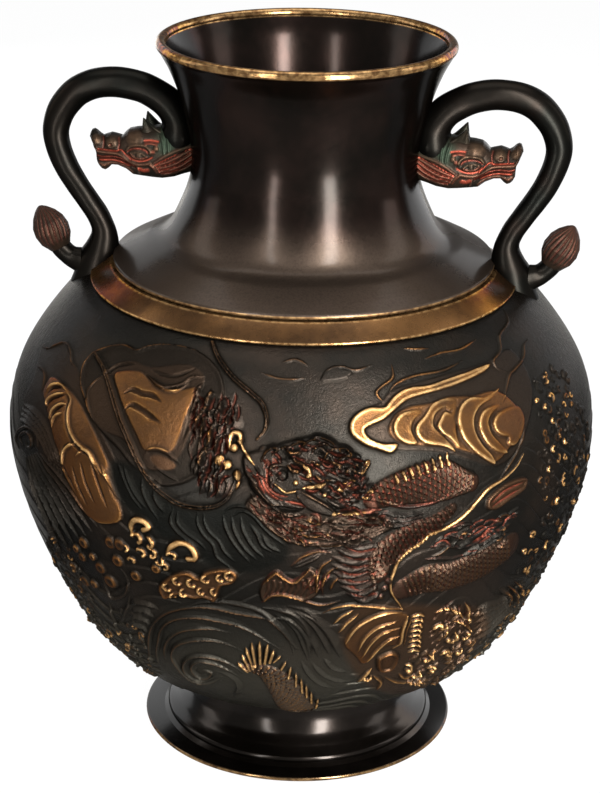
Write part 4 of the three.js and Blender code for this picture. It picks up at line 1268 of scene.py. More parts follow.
def head_snout():
    """The upper jaw and lip."""
    snout = [[(246, 470), (253, 477), (260, 488), (268, 497), (277, 505), (286, 513), (294, 518)]]
    waves(snout, width=5, height=4.2, wear=0.1, flip=True)
    snout_ridge = [(246, 471), (253, 480), (259, 489), (268, 497), (277, 504), (288, 515)]
    ridge(snout_ridge, width=5.0, height=2.0, wear=0.12)
    lip_cuts = [
        [(263, 475), (265, 484), (270, 492), (277, 497), (283, 499)],
        [(258, 472), (260, 482), (266, 492)],
    ]
    ridges(lip_cuts, width=1.5, height=-0.9, red=1.0)
    mouth_gap = [(271, 503), (281, 507), (292, 509), (304, 508)]
    ridge(mouth_gap, width=2.6, height=-2.4, taper=(0.3, 0.3))
    cheek_gap = [(286, 500), (298, 503), (312, 506)]
    ridge(cheek_gap, width=2.2, height=-1.6, red=0.4)


def head_eye():
    """The eye under its brow."""
    eye = (283, 475)
    bulb(eye, radius=5.4, height=2.2, wear=0.1, hollow=0.95)
    pupil = (283, 476)
    bulb(pupil, radius=2.2, height=1.6, wear=0.2)
    brow = [(271, 476), (271, 468), (277, 465), (286, 466), (292, 471), (294, 477)]
    ridge(brow, width=2.0, height=1.6, wear=0.12)
    under_eye = [(275, 482), (280, 487), (286, 491), (292, 491), (302, 488)]
    ridge(under_eye, width=1.6, height=1.4, wear=0.7)
    eye_cut = [(268, 470), (268, 484), (276, 493), (288, 496)]
    ridge(eye_cut, width=1.6, height=-1.0, red=0.7)


def head_horn():
    """Worn glints behind the eye, and the horn with its tip."""
    long_glint = [(303, 487), (312, 486), (324, 483)]
    ridge(long_glint, width=2.8, height=2.0, wear=1.0, taper=(0.5, 0.5))
    upright_glint = [(305, 466), (308, 472), (310, 480)]
    ridge(upright_glint, width=4.0, height=2.2, wear=0.7, taper=(0.7, 0.4))
    small_glints = ((324, 494, 1.8), (300, 495, 1.6), (296, 482, 1.6))
    for x, y, size in small_glints:
        bulb((x, y), radius=size, height=2.4, wear=0.95)
    horn = [(296, 489), (306, 491), (320, 499), (332, 507), (336, 514), (320, 512), (304, 504)]
    field(horn, height=4.2, edge=1.2, crown=0.6)
    horn_edge = [(299, 489), (310, 495), (322, 501), (331, 507), (335, 512)]
    ridge(horn_edge, width=2.0, height=1.4, wear=0.15)
    horn_tip = (335, 513)
    bulb(horn_tip, radius=2.4, height=2.2, wear=1.0)


def head_mane():
    """Leaves of the mane behind the head."""
    leaves = (
        ((360, 475), (370, 459), 3.4, 2.0, 0.75, 0),
        ((335, 490), (354, 479), 4.6, 2.0, 0.45, 0.3),
        ((360, 500), (373, 487), 3.2, 1.8, 0.55, 0),
        ((342, 500), (360, 489), 3.0, 1.4, 0, 0.7),
    )
    for start, end, width, height, wear, red in leaves:
        leaf(start, end, width, height, wear, red)
    nape_first = [(344, 484), (352, 478), (358, 470)]
    nape_last = [(356, 500), (364, 492), (372, 484)]
    bundle(nape_first, nape_last, count=4, width=3.0, height=3.6, red=0.3)
    brow_knob = (264, 451)
    bulb(brow_knob, radius=2.8, height=1.6, wear=0.4)


def head_beard():
    """The nose, the beard left of it and the two long whiskers."""
    nose_curl = [(231, 450), (230, 440), (234, 434), (240, 435), (241, 442)]
    ridge(nose_curl, width=4.6, height=3.0, wear=0.65, taper=(0.5, 0.8))
    nose_ball = (235, 448)
    bulb(nose_ball, radius=2.4, height=3.4, wear=1.0)
    nose_line = [(235, 444), (240, 442), (244, 450), (249, 457), (255, 465)]
    ridge(nose_line, width=2.2, height=1.8, wear=0.85)
    nose_knobs = ((220, 460, 3.0), (228, 465, 2.8), (238, 475, 2.8))
    for x, y, size in nose_knobs:
        bulb((x, y), radius=size, height=2.6, wear=0.8)
    chin = [(237, 470), (240, 480), (236, 490)]
    ridge(chin, width=2.6, height=2.2, wear=0.5)
    locks = [
        [(194, 405), (199, 419), (195, 434), (190, 450), (194, 462)],
        [(201, 408), (206, 424), (201, 438), (199, 452), (200, 466)],
        [(208, 414), (213, 430), (208, 444), (208, 456), (205, 470)],
        [(215, 412), (221, 426), (216, 440), (216, 452), (214, 462)],
        [(222, 414), (228, 428), (223, 440)], [(230, 414), (235, 423), (231, 431)],
        [(199, 470), (204, 482), (200, 494)], [(207, 470), (212, 484), (208, 497)],
        [(215, 472), (220, 486), (216, 498)], [(223, 474), (228, 486), (223, 497)],
    ]
    waves(locks, width=5.0, height=2.2, wear=0.15, red=0.25)
    beard = [
        (190, 404), (212, 408), (234, 412), (236, 430), (226, 448), (220, 474), (228, 500), (198, 500),
        (190, 470), (188, 436),
    ]
    strands(beard, way=85, length=13, pitch=3.4, width=2.6, height=1.6, wear=0.1, red=0.2, seed=22)
    long_whisker = [
        (98, 356), (107, 372), (115, 395), (122, 418), (133, 444), (142, 465), (152, 480), (163, 492),
        (181, 503), (202, 507), (218, 505), (228, 498), (234, 487), (238, 476),
    ]
    whisker(long_whisker, width=3.8, height=2.6, wear=0.2)
    upper_whisker = [
        (213, 343), (218, 357), (228, 372), (239, 383), (252, 394), (262, 404), (267, 418), (265, 431),
        (257, 440),
    ]
    whisker(upper_whisker, width=3.2, height=2.4, wear=0.25)


def tail():
    """The tail's end at the bottom, with spikes."""
    spine = [(252, 666), (266, 670), (279, 680), (289, 692), (298, 706)]
    half_widths = [4.5, 8, 10, 11, 11]
    scaled(spine, half_widths, pitch=3.0, height=2.8, wear=0.5, red=0.1)
    spike_base = [(248, 668), (256, 662), (270, 660)]
    spike_tips = [(238, 661), (242, 653), (246, 646), (252, 641), (260, 640), (268, 643), (274, 649)]
    tassel(spike_base, spike_tips, width=2.6, height=2.0, wear=1.0, red=0, bend=0)
    comb_base = [(274, 660), (300, 686), (316, 704)]
    comb_tips = [
        (281, 654), (286, 660), (291, 665), (296, 671), (301, 677), (306, 683), (311, 690), (318, 697),
    ]
    tassel(comb_base, comb_tips, width=1.9, height=1.6, wear=0.8, red=0, bend=0)


def lower_right_waves():
    """A worn fan of water, a ring and a comb."""
    ground = [
        (342, 620), (360, 606), (400, 604), (440, 606), (474, 606), (486, 622), (474, 648), (452, 668),
        (420, 688), (380, 690), (352, 668),
    ]
    field(ground, height=0.6, edge=6, wear=0.3, brown=0.6, face=0.8)
    fan = [
        (344, 642), (352, 627), (367, 617), (384, 611), (400, 611), (407, 614), (402, 627), (398, 642),
        (384, 645), (375, 652), (363, 662), (355, 654),
    ]
    field(fan, height=1.4, edge=1.4, wear=0.62, brown=1.0, crown=0.5)
    fan_ribs = [
        [(333, 624), (341, 615), (353, 609)], [(338, 632), (346, 622), (358, 613)],
        [(345, 642), (354, 627), (368, 617), (386, 611), (402, 611)],
        [(357, 650), (363, 636), (376, 625), (396, 619)],
        [(361, 656), (369, 641), (382, 630), (399, 626)],
        [(366, 660), (375, 648), (388, 637), (398, 634)],
    ]
    ridges(fan_ribs, width=2.2, height=1.4, wear=0.65)
    fan_edge = [(407, 614), (402, 627), (399, 641), (392, 647)]
    ridge(fan_edge, width=3.0, height=1.8, wear=0.8)
    ring = [(378, 655), (391, 650), (398, 654), (391, 667), (379, 669), (376, 660)]
    field(ring, height=1.6, edge=1.2, wear=0.3, brown=1.0, rim=1.4)
    for step in range(8):
        tooth = [
            (406 + 0.6 * step, 651 - 5 * step),
            (413 + 0.7 * step, 648 - 5 * step),
            (419 + 0.7 * step, 650 - 5 * step),
        ]
        ridge(tooth, width=1.8, height=1.5, wear=0.85)
    comb_sides = [[(412, 614), (406, 628), (403, 645)], [(422, 614), (418, 630), (419, 650)]]
    ridges(comb_sides, width=1.6, height=1.2, wear=0.6)


def lower_right_curls():
    """Curls and broken water right of the comb."""
    curls = (
        (438, 626, 3.8, 200), (449, 637, 4.2, 60), (463, 635, 3.2, 90), (444, 652, 3.6, 180),
        (425, 657, 3.4, 90), (406, 666, 3.2, 120), (414, 673, 3.0, 60), (429, 667, 3.4, 150),
        (456, 650, 3.0, 30), (366, 676, 2.6, 30),
    )
    for x, y, size, start in curls:
        hook((x, y), size=size, start=start, spin=-1, height=2.0, wear=0.95)
    low_crest = [(357, 681), (364, 674), (371, 667)]
    ridge(low_crest, width=2.8, height=1.6, wear=0.9)
    flow_lines = [
        [(323, 612), (337, 606), (356, 604), (379, 606), (402, 608)],
        [(434, 612), (444, 608), (456, 610), (462, 618)], [(452, 620), (462, 622), (470, 630)],
        [(384, 676), (396, 680), (410, 680), (424, 680)], [(430, 682), (444, 676), (456, 668)],
        [(398, 672), (404, 676), (412, 674)], [(372, 674), (380, 680), (376, 688)],
    ]
    ridges(flow_lines, width=2.4, height=1.5, wear=0.6)
    rough_water = [
        (424, 612), (470, 608), (476, 636), (452, 668), (424, 684), (398, 684), (402, 660), (424, 652),
    ]
    strands(rough_water, way=60, length=8, pitch=4.6, width=2.4, height=1.4, wear=0.38, red=0.1, seed=26)
    side_knob = [(464, 602), (467, 608), (466, 616), (467, 624)]
    ridge(side_knob, width=3.4, height=2.0, wear=0.6, red=0.3)
    edge_first = [(474, 610), (486, 604), (501, 598), (509, 585)]
    edge_last = [(470, 642), (486, 630), (502, 614), (518, 602)]
    bundle(edge_first, edge_last, count=6, width=4.5, height=2.8, wear=0.15)
    edge_lines = [
        [(507, 585), (514, 592), (513, 602), (506, 608)], [(501, 588), (508, 596), (506, 604)],
        [(513, 580), (520, 588), (520, 600)],
    ]
    ridges(edge_lines, width=2.2, height=1.5, wear=0.4)
    edge_foam = [
        (398, 680), (430, 678), (460, 660), (480, 640), (505, 612), (520, 594), (535, 600), (510, 640),
        (480, 670), (440, 690),
    ]
    foam(edge_foam, pitch=7.5, size=2.6, wear=0.6, seed=5)


def right_foam():
    """The spray at the right edge."""
    spray = [
        (534, 366), (550, 356), (564, 372), (576, 395), (588, 430), (590, 480), (580, 530), (560, 575),
        (532, 604), (512, 600), (516, 560), (540, 540), (542, 500), (534, 470), (542, 430), (532, 400),
    ]
    foam(spray, pitch=7.5, size=2.7, wear=0.55, seed=7, height=0.9)
    curls = (
        (562, 482, 3.6), (555, 501, 3.6), (558, 528, 4.0), (530, 535, 4.2), (511, 539, 3.6),
        (543, 545, 4.0), (522, 551, 3.4), (525, 572, 3.2), (547, 470, 2.8), (552, 450, 3.0),
        (536, 402, 2.6), (544, 408, 2.4), (552, 422, 2.6), (564, 442, 2.8), (571, 500, 3.2),
    )
    for x, y, size in curls:
        hook((x, y), size=0.75 * size, start=4 * x, spin=1, height=1.4, wear=1.0)
    fringe_first = [(505, 583), (512, 592), (515, 608)]
    fringe_last = [(498, 588), (505, 597), (508, 611)]
    bundle(fringe_first, fringe_last, count=3, width=3.0, height=2.2, wear=0.2)


# Each motif covers what it meets of those before it
MOTIFS = (
    outer_left_cloud, inner_left_cloud, left_edge_waves, dark_waves, left_foam, left_spray, whirlpool,
    right_cloud, right_foam, lower_right_waves, lower_right_curls, lower_jaw, claw, dragon_coils,
    dragon_fins, tail, head_crown, head_snout, head_eye, head_horn, head_mane, head_beard,
)

ripples()
for relief.turn in (0, math.pi):
    for motif in MOTIFS:
        motif()


# How far about a place its surroundings reach, in mm, when its crests are looked for
CREST_REACH = 1.6


def mesh_columns():
    """The columns that the mesh keeps: every one in front, and every second one behind."""
    turn = relief.pitch * np.arange(relief.columns) - np.pi
    return np.flatnonzero((np.abs(turn) < math.radians(100)) | (np.arange(relief.columns) % 2 == 0))


def mesh_rows():
    """Rows at even steps along the outline, because the plane's rows crowd where it is narrow."""
    outline = np.stack([relief.radius, relief.z], 1)
    so_far = np.append(0, np.cumsum(np.linalg.norm(np.diff(outline, axis=0), axis=1)))
    steps = int(so_far[-1] / (relief.pitch * BELLY_RADIUS))
    rows = np.interp(np.linspace(0, so_far[-1], steps), so_far, np.arange(relief.rows))
    return np.unique(rows.round().astype(int))


def body_masks():
    """Where the body is worn, red, hollow, brown and dark. A crest stands out of what is about it."""
    reach = max(1, round(CREST_REACH / (relief.pitch * BELLY_RADIUS)))
    crest = relief.height - blurred(relief.height, reach)
    edge = np.clip(1.5 * crest, 0, 1)
    return {
        "wear": np.clip(relief.wear * (0.7 + 0.8 * crest) + 0.16 * edge, 0, 1),
        "red": np.clip(relief.red * (0.75 - 1.8 * crest), 0, 1),
        "hollow": np.clip(-1.8 * crest, 0, 1),
        "brown": relief.brown,
        "dark": relief.dark,
    }


def body_lining():
    """The outline inside the body, from the mouth down: its flange, its wall and the base's seat."""
    flange = BAND_Z - WALL
    wall = moved_in(body_outline, WALL)[::10]
    wall = wall[(wall[:, 1] > BODY_Z + 8) & (wall[:, 1] < flange - 0.5)][::-1]
    return np.vstack([
        [(BODY_MOUTH_RADIUS, BAND_Z), (BODY_MOUTH_RADIUS, flange), (TOP_RADIUS - 1, flange)],
        wall,
        [(BASE_RADIUS - 4, BODY_Z + 6.3), (BASE_RADIUS - 4, BODY_Z + 3),
         (BASE_RADIUS - 8, BODY_Z + 3), (BASE_RADIUS - 8, BODY_Z)],
    ])


def relief_body():
    """The body: the relief outside, and a plain wall, flange and base inside."""
    rows, columns = mesh_rows(), mesh_columns()
    turn = relief.pitch * columns - np.pi
    height = relief.height[np.ix_(rows, columns)]
    radius = relief.radius[rows][:, None] + relief.out[rows, :1] * height
    z = relief.z[rows][:, None] + relief.out[rows, 1:] * height
    inner = body_lining()
    vertices = np.concatenate([about_axis(radius, z, turn), about_axis(inner[:, :1], inner[:, 1:], turn)])
    plain = np.zeros((len(inner), len(columns)))
    masks = {key: np.vstack([mask[np.ix_(rows, columns)], plain]) for key, mask in body_masks().items()}
    faces = ring_faces(len(vertices), len(columns), wrap_rows=True)
    piece = mesh_object("body", vertices.reshape(-1, 3), faces, relief_patina("relief_bronze"),
                        sharp=60, colours=masks)
    middle = np.vstack([np.stack([relief.radius, relief.z], 1)[rows], inner])
    add_grid_uv(piece, len(vertices), len(columns), shares_round(middle))
    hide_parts("body_shell")


relief_body()


def neck():
    """The neck in one piece: the joint of its two castings is dressed away."""
    inner = moved_in(neck_outline, WALL)[::2]
    lip = arc((MOUTH_RADIUS - LIP_WIDTH / 2, MOUTH_Z - LIP_WIDTH / 2), LIP_WIDTH / 2, -35, 190, 15)
    bead = arc((NECK_FOOT_RADIUS - 1.6, NECK_Z + 1.9), 1.6, -60, 75, 8)
    outline = np.vstack([
        [(BODY_MOUTH_RADIUS, NECK_Z + COLLAR_RISE + CLEARANCE), (BODY_MOUTH_RADIUS, NECK_Z)],
        bead,
        neck_outline,
        lip,
        inner[::-1],
    ])
    lip_wear = (MOUTH_Z - 4.6, MOUTH_Z - 3.8, 0.75)
    bead_wear = (NECK_Z + 2.6, NECK_Z + 2.0, 0.7)
    # Up to a little above its corner, the lower neck carries a painted sheen
    sheen_heights = (CORNER_Z - 2, CORNER_Z + 26)
    material = turned_patina("neck_bronze", BLACK, NECK_BROWN, (lip_wear, bead_wear), 0.19, 0.06, sheen_heights)
    piece = turned("neck", outline, material)
    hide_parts("neck_and_mouth", "neck_slope")


def band():
    """The sloping band on the shoulder, with the collar that carries the neck."""
    edge = arc((BAND_RADIUS - 0.9, BAND_Z + 0.9), 0.9, -90, 40, 7)
    collar = BODY_MOUTH_RADIUS - CLEARANCE
    outline = np.vstack([
        edge,
        [(NECK_FOOT_RADIUS + 1.5, NECK_Z - 0.3), (NECK_FOOT_RADIUS + 1.2, NECK_Z)],
        [(collar, NECK_Z), (collar, band_high[2]), (collar - WALL, band_high[2]),
         (collar - WALL, band_low[2]), (collar, band_low[2]), (collar, BAND_Z)],
    ])
    lower_wear = (BAND_Z + 1.9, BAND_Z + 1.1, 0.9)
    upper_wear = (NECK_Z - 0.9, NECK_Z - 0.3, 0.5)
    material = turned_patina("worn_bronze", BAND_BROWN, BAND_GOLD, (lower_wear, upper_wear), 0.27)
    piece = turned("band", outline, material)
    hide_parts("shoulder_band")


def foot():
    """The spreading foot: a flat edge with a gold line, a step, and a stem up to the body."""
    inner_radius = BASE_RADIUS - 8.3
    stem = curve_through(
        [
            (BASE_RADIUS + 8.5, 11),
            (BASE_RADIUS + 2, 18),
            (BASE_RADIUS - 1, BODY_Z - 8),
            (BASE_RADIUS, BODY_Z),
        ],
        8,
    )
    outline = np.vstack([
        arc((FLANGE_RADIUS - 1, 1.5), 1.3, -80, 80, 7),
        [(76.5, 3.2)],
        arc((73.5, 6.0), 2.6, -60, 70, 8),
        stem,
        [(inner_radius, BODY_Z), (inner_radius, foot_high[2]), (inner_radius - 4, foot_high[2])],
        [(inner_radius - 4, BODY_Z - 4), (57, 25), (65, 12), (80, 2), (80, 0)],
    ])
    outline[:, 1] = np.maximum(outline[:, 1], 0)
    edge_wear = (2.8, 1.6, 0.8)
    material = turned_patina("foot_bronze", BLACK, FOOT_BROWN, (edge_wear,), 0.2, coat=0.1)
    piece = turned("foot", outline, material)
    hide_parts("foot_ring")


neck()
band()
foot()

# The handles, in the upright plane through the axis: an arm, a stem with a bud, and a dragon's head.
# The arm's points are shares of its rise, from its root on the neck and from its pad on the band

ROOT_Z = NECK_Z + 72.3
ROOT_RADIUS = np.interp(ROOT_Z, neck_outline[:, 1], neck_outline[:, 0]) + 5.6
PAD = np.array([BAND_RADIUS + 0.7, BAND_Z + 0.5])
ROOT = np.array([ROOT_RADIUS, ROOT_Z])
RISE = ROOT_Z - PAD[1]
ROOT_POINTS = [(0, -0.21), (-0.007, -0.087), (0.005, 0.057), (0.072, 0.156), (0.199, 0.236), (0.285, 0.265),
               (0.413, 0.285), (0.562, 0.267), (0.672, 0.218), (0.734, 0.16)]
PAD_POINTS = [(0.197, 1.062), (0.23, 0.941), (0.215, 0.832), (0.161, 0.688), (0.095, 0.575), (0.014, 0.452),
              (-0.052, 0.347), (-0.084, 0.248), (-0.072, 0.13), (-0.03, 0.006), (-0.002, -0.09),
              (0.02, -0.15)]
ARM = np.vstack([ROOT + RISE * np.array(ROOT_POINTS), PAD + RISE * np.array(PAD_POINTS)])
BUD_BASE = PAD + RISE * np.array([0.216, 0.122])
BUD_WAY = np.array([0.45, 0.893])
BUD_LENGTH, BUD_RADIUS, BUD_FLUTES = 25.5, 10, 20
STEM_POINTS = [(-0.03, -0.08), (-0.005, -0.01), (0.07, 0.028), (0.15, 0.06)]
STEM = np.vstack([PAD + RISE * np.array(STEM_POINTS), BUD_BASE, BUD_BASE + 3 * BUD_WAY])


def outside(vertices):
    """Vertices kept out of the hollows: those that pass into a wall stop at half its thickness."""
    vertices = vertices.copy()
    radius = np.hypot(vertices[:, 0], vertices[:, 1])
    least = np.interp(vertices[:, 2], neck_outline[:, 1], neck_outline[:, 0]) - WALL / 2
    push = np.where(vertices[:, 2] > CORNER_Z, np.maximum(least / np.maximum(radius, 1), 1), 1)
    vertices[:, :2] *= push[:, None]
    skin = body_outline[body_outline[:, 1] > BELLY_Z][::-1]
    lowest = np.interp(radius, skin[:, 0], skin[:, 1]) - WALL / 2
    shoulder = (radius > BODY_MOUTH_RADIUS) & (vertices[:, 2] < NECK_Z)
    vertices[shoulder, 2] = np.maximum(vertices[shoulder, 2], lowest[shoulder])
    return vertices


def closed_tube(rings):
    """Vertices and faces of a tube over rings, its ends closed to their middles."""
    steps, sides = rings.shape[:2]
    ends = np.repeat(rings[[0, -1]].mean(1, keepdims=True), sides, 1)
    rings = np.concatenate([ends[:1], rings, ends[1:]])
    return rings.reshape(-1, 3), ring_faces(steps + 2, sides)


def swept(path, radius_at, steps, sides=40, round_at=None):
    """Rings of a bar along a path, with a radius along it, and a change of that round it."""
    path = resampled(curve_through(path, 24), steps)
    along = np.gradient(path, axis=0)
    along /= np.linalg.norm(along, axis=1)[:, None]
    turn = 2 * np.pi * np.arange(sides) / sides
    share = np.linspace(0, 1, steps)
    radius = radius_at(share)[:, None] * (1 + (round_at(share[:, None], turn) if round_at else 0))
    aside = radius * np.cos(turn)
    x = path[:, :1] - along[:, 1:] * aside
    z = path[:, 1:] + along[:, :1] * aside
    return np.stack([x, radius * np.sin(turn), z], -1)


def smoothstep(x, low, high):
    """A soft step from 0 below a low value to 1 above a high one."""
    t = np.clip((np.asarray(x, float) - low) / (high - low), 0, 1)
    return t * t * (3 - 2 * t)


# The arm's radii in mm, and its knot: how high it is, where along the arm and how long, as shares
ROOT_BAR, UPPER_BAR, THINNING, PAD_BAR = 9.0, 8.2, 2.0, 11.2
KNOT, KNOT_PLACE, KNOT_REACH = 1.8, 0.06, 0.03


def arm_radius(share):
    """The arm's radius along it: a knot near the root, thinner towards the pad, and thick on it."""
    thin = UPPER_BAR - THINNING * smoothstep(share, 0.35, 0.74)
    rooted = ROOT_BAR + (thin - ROOT_BAR) * smoothstep(share, 0.1, 0.25)
    knot = KNOT * np.exp(-((share - KNOT_PLACE) / KNOT_REACH) ** 2)
    return rooted + knot + (PAD_BAR - rooted) * smoothstep(share, 0.81, 0.93)


def stem_radius(share):
    """The stem's radius along it: it springs thick from the arm and thins towards the bud."""
    return 9.6 - 4.0 * smoothstep(share, 0.1, 0.75)


def hammered(share, turn):
    """Slight unevenness of a bar worked by hand."""
    return 0.012 * np.sin(31 * share + 2 * turn) + 0.008 * np.sin(57 * share - 3 * turn)


# The bud's radius at some places along it, both as shares
BUD_PLACES = [0, 0.06, 0.2, 0.4, 0.6, 0.78, 0.92, 0.985, 1]
BUD_SWELLS = [0.6, 0.68, 0.9, 1, 0.92, 0.68, 0.36, 0.14, 0.02]
FLUTE_DEPTH, FLUTE_LEAN = 0.09, 0.5


def bud_rings(steps=72, sides=180):
    """The bud's rings, with flutes that lean a little, and how deep in a flute each point lies."""
    share = np.linspace(0, 1, steps)
    swell = np.interp(share, BUD_PLACES, BUD_SWELLS)
    turn = 2 * np.pi * np.arange(sides) / sides
    lean = turn[None] + FLUTE_LEAN * (share[:, None] - 0.3)
    flute = np.abs(np.sin(0.5 * BUD_FLUTES * lean)) ** 0.7
    depth = FLUTE_DEPTH * smoothstep(share, 0.1, 0.2) * (1 - smoothstep(share, 0.85, 1))
    radius = BUD_RADIUS * swell[:, None] * (1 - depth[:, None] * (1 - flute))
    middle = BUD_BASE + 0.3 * BUD_WAY + np.outer(share * BUD_LENGTH, BUD_WAY)
    x = middle[:, :1] - radius * np.cos(turn) * BUD_WAY[1]
    z = middle[:, 1:] + radius * np.cos(turn) * BUD_WAY[0]
    groove = (1 - flute) * smoothstep(share, 0.1, 0.2)[:, None]
    return np.stack([x, radius * np.sin(turn), z], -1), groove


# The head's side, drawn in units of 0.064 mm from a corner above and beyond the nose; x runs inwards
HEAD_UNIT = 0.064
HEAD_CORNER = ROOT + np.array([84.2, 6.9])
HEAD_TOP = [
    (562, 215), (568, 180), (580, 160), (600, 154), (625, 168), (650, 192), (675, 206), (700, 196),
    (745, 182), (800, 194), (835, 204), (870, 165), (900, 142), (960, 129), (1030, 121), (1100, 112),
    (1180, 100), (1235, 98), (1290, 96), (1360, 96), (1440, 100), (1560, 106),
]
HEAD_BOTTOM = [
    (562, 216), (575, 256), (590, 292), (605, 330), (618, 358), (622, 440), (640, 478), (664, 500),
    (690, 508), (715, 492), (745, 461), (800, 463), (870, 492), (900, 515), (930, 538), (1000, 546),
    (1100, 556), (1180, 561), (1280, 545), (1360, 517), (1440, 493), (1560, 488),
]
# Half the head's width in mm along it
HEAD_WIDTHS = [
    (562, 2.6), (580, 4.0), (620, 5.4), (700, 6.0), (800, 6.8), (900, 8.2), (980, 9.6), (1100, 10.4),
    (1250, 10.4), (1400, 8.8), (1560, 7.0),
]
NOSE_X, FACE_X, HEAD_END_X = 562, 622, 1560
NOSE_RINGS = 40
# Each stroke: a line, its width and height in mm, how red it is and how worn
HEAD_STROKES = [
    ([(890, 302), (920, 266), (980, 250), (1050, 254), (1092, 288), (1096, 312)], 1.7, 1.0, 0, 0.5),
    ([(898, 312), (930, 292), (990, 280), (1050, 292), (1075, 312)], 1.2, -0.7, 0.6, 0),
    ([(925, 326), (980, 314), (1030, 326), (1062, 350)], 1.1, 0.7, 0, 0.4),
    ([(928, 336), (965, 362), (1020, 366), (1062, 350)], 1.1, 0.7, 0.3, 0.3),
    ([(900, 345), (940, 378), (1000, 388), (1060, 378), (1110, 350)], 1.2, -0.6, 1, 0),
    ([(590, 296), (640, 328), (700, 334), (800, 340), (850, 358), (890, 396), (950, 418), (1020, 420),
      (1090, 410), (1130, 440), (1166, 482)], 2.2, 1.1, 0.1, 0.35),
    ([(640, 312), (720, 316), (800, 318), (840, 306), (880, 340), (925, 385)], 1.1, -0.7, 1, 0),
    ([(622, 366), (660, 380), (720, 376), (790, 376), (850, 392), (910, 420), (960, 444)],
     1.8, -2.0, 0.5, 0),
    ([(655, 404), (760, 402), (840, 414), (905, 440)], 1.5, 0.6, 1, 0.1),
    ([(640, 440), (690, 452), (750, 436), (830, 442), (890, 470), (930, 505)], 2.0, 0.7, 0.15, 0.3),
    ([(978, 446), (990, 480), (998, 520)], 1.2, 0.8, 0.1, 0.4),
    ([(1000, 462), (1030, 476), (1066, 470)], 2.6, 0.5, 1, 0),
    ([(1092, 420), (1122, 452), (1146, 492)], 1.2, 0.9, 0.3, 0.4),
    ([(1128, 400), (1210, 340), (1300, 292), (1460, 246)], 2.2, 1.0, 0.1, 0.15),
    ([(1146, 420), (1250, 380), (1350, 330), (1470, 262)], 2.2, 1.1, 0.25, 0.2),
    ([(1160, 446), (1270, 418), (1370, 366), (1480, 284)], 2.2, 1.1, 0.25, 0.2),
    ([(1172, 476), (1290, 450), (1390, 400), (1490, 310)], 2.2, 1.1, 0.25, 0.2),
    ([(1190, 506), (1300, 484), (1400, 440), (1490, 360)], 2.0, 1.0, 0.1, 0.15),
    ([(1134, 412), (1240, 358), (1330, 312), (1470, 254)], 1.0, -0.7, 1, 0),
    ([(1152, 434), (1262, 400), (1364, 346), (1476, 272)], 1.0, -0.7, 0.9, 0),
    ([(1166, 462), (1284, 434), (1384, 382), (1486, 298)], 1.0, -0.7, 1, 0),
    ([(1180, 492), (1296, 468), (1396, 420), (1490, 334)], 1.0, -0.7, 0.7, 0),
    ([(1046, 214), (1100, 210), (1162, 216)], 1.3, -0.6, 1, 0),
    ([(1050, 238), (1100, 232), (1150, 240)], 1.3, 0.6, 0.4, 0.2),
    ([(1180, 160), (1200, 230), (1210, 310)], 1.4, 0.6, 0, 0),
    ([(1230, 150), (1245, 220), (1250, 290)], 1.4, 0.6, 0, 0),
    ([(676, 206), (690, 250), (684, 296)], 1.4, -0.6, 0.3, 0),
    ([(815, 220), (824, 260), (818, 300)], 1.4, -0.6, 0.3, 0),
]
# Each boss: its middle, radius and height in mm, how red and how worn
HEAD_BOSSES = [
    ((622, 232), 3.4, 1.2, 0, 0.5),
    ((752, 244), 4.0, 1.6, 0, 0.4),
    ((748, 268), 1.3, -1.2, 0.2, 0),
    ((950, 196), 5.2, 1.1, 0, 0.4),
    ((992, 340), 1.7, 0.9, 0, 0.2),
    ((1146, 270), 1.7, 1.2, 0.1, 0.7),
    ((1120, 300), 1.4, 0.7, 0.4, 0.3),
    ((676, 478), 2.4, 0.7, 0, 0.2),
]


def head_detail(x, z):
    """The relief on the head's side at places in the drawing: height, red and wear."""
    height, red, wear = np.zeros(x.shape), np.zeros(x.shape), np.zeros(x.shape)
    for points, width, rise, redness, worn in HEAD_STROKES:
        points = curve_through(points, 5)
        gap = np.full(x.shape, np.inf)
        for a, b in zip(points, points[1:]):
            d = b - a
            t = np.clip(((x - a[0]) * d[0] + (z - a[1]) * d[1]) / (d @ d), 0, 1)
            gap = np.minimum(gap, np.hypot(x - a[0] - t * d[0], z - a[1] - t * d[1]))
        form = np.clip(1 - (gap * HEAD_UNIT / (0.55 * width)) ** 2, 0, 1)
        height += rise * form
        red = np.maximum(red, redness * form)
        wear = np.maximum(wear * (1 - redness * form), worn * form)
    for (cx, cz), radius, rise, redness, worn in HEAD_BOSSES:
        form = np.clip(1 - (np.hypot(x - cx, z - cz) * HEAD_UNIT / radius) ** 2, 0, 1)
        height += rise * form ** 0.8
        red = np.maximum(red, redness * form)
        wear = np.maximum(wear, worn * form)
    return height, red, wear


def from_drawing(x, across, z):
    """Places on the urn of places in the head's drawing, at some distances in mm from its middle."""
    return np.stack([HEAD_CORNER[0] - HEAD_UNIT * x, across, HEAD_CORNER[1] - HEAD_UNIT * z], -1)


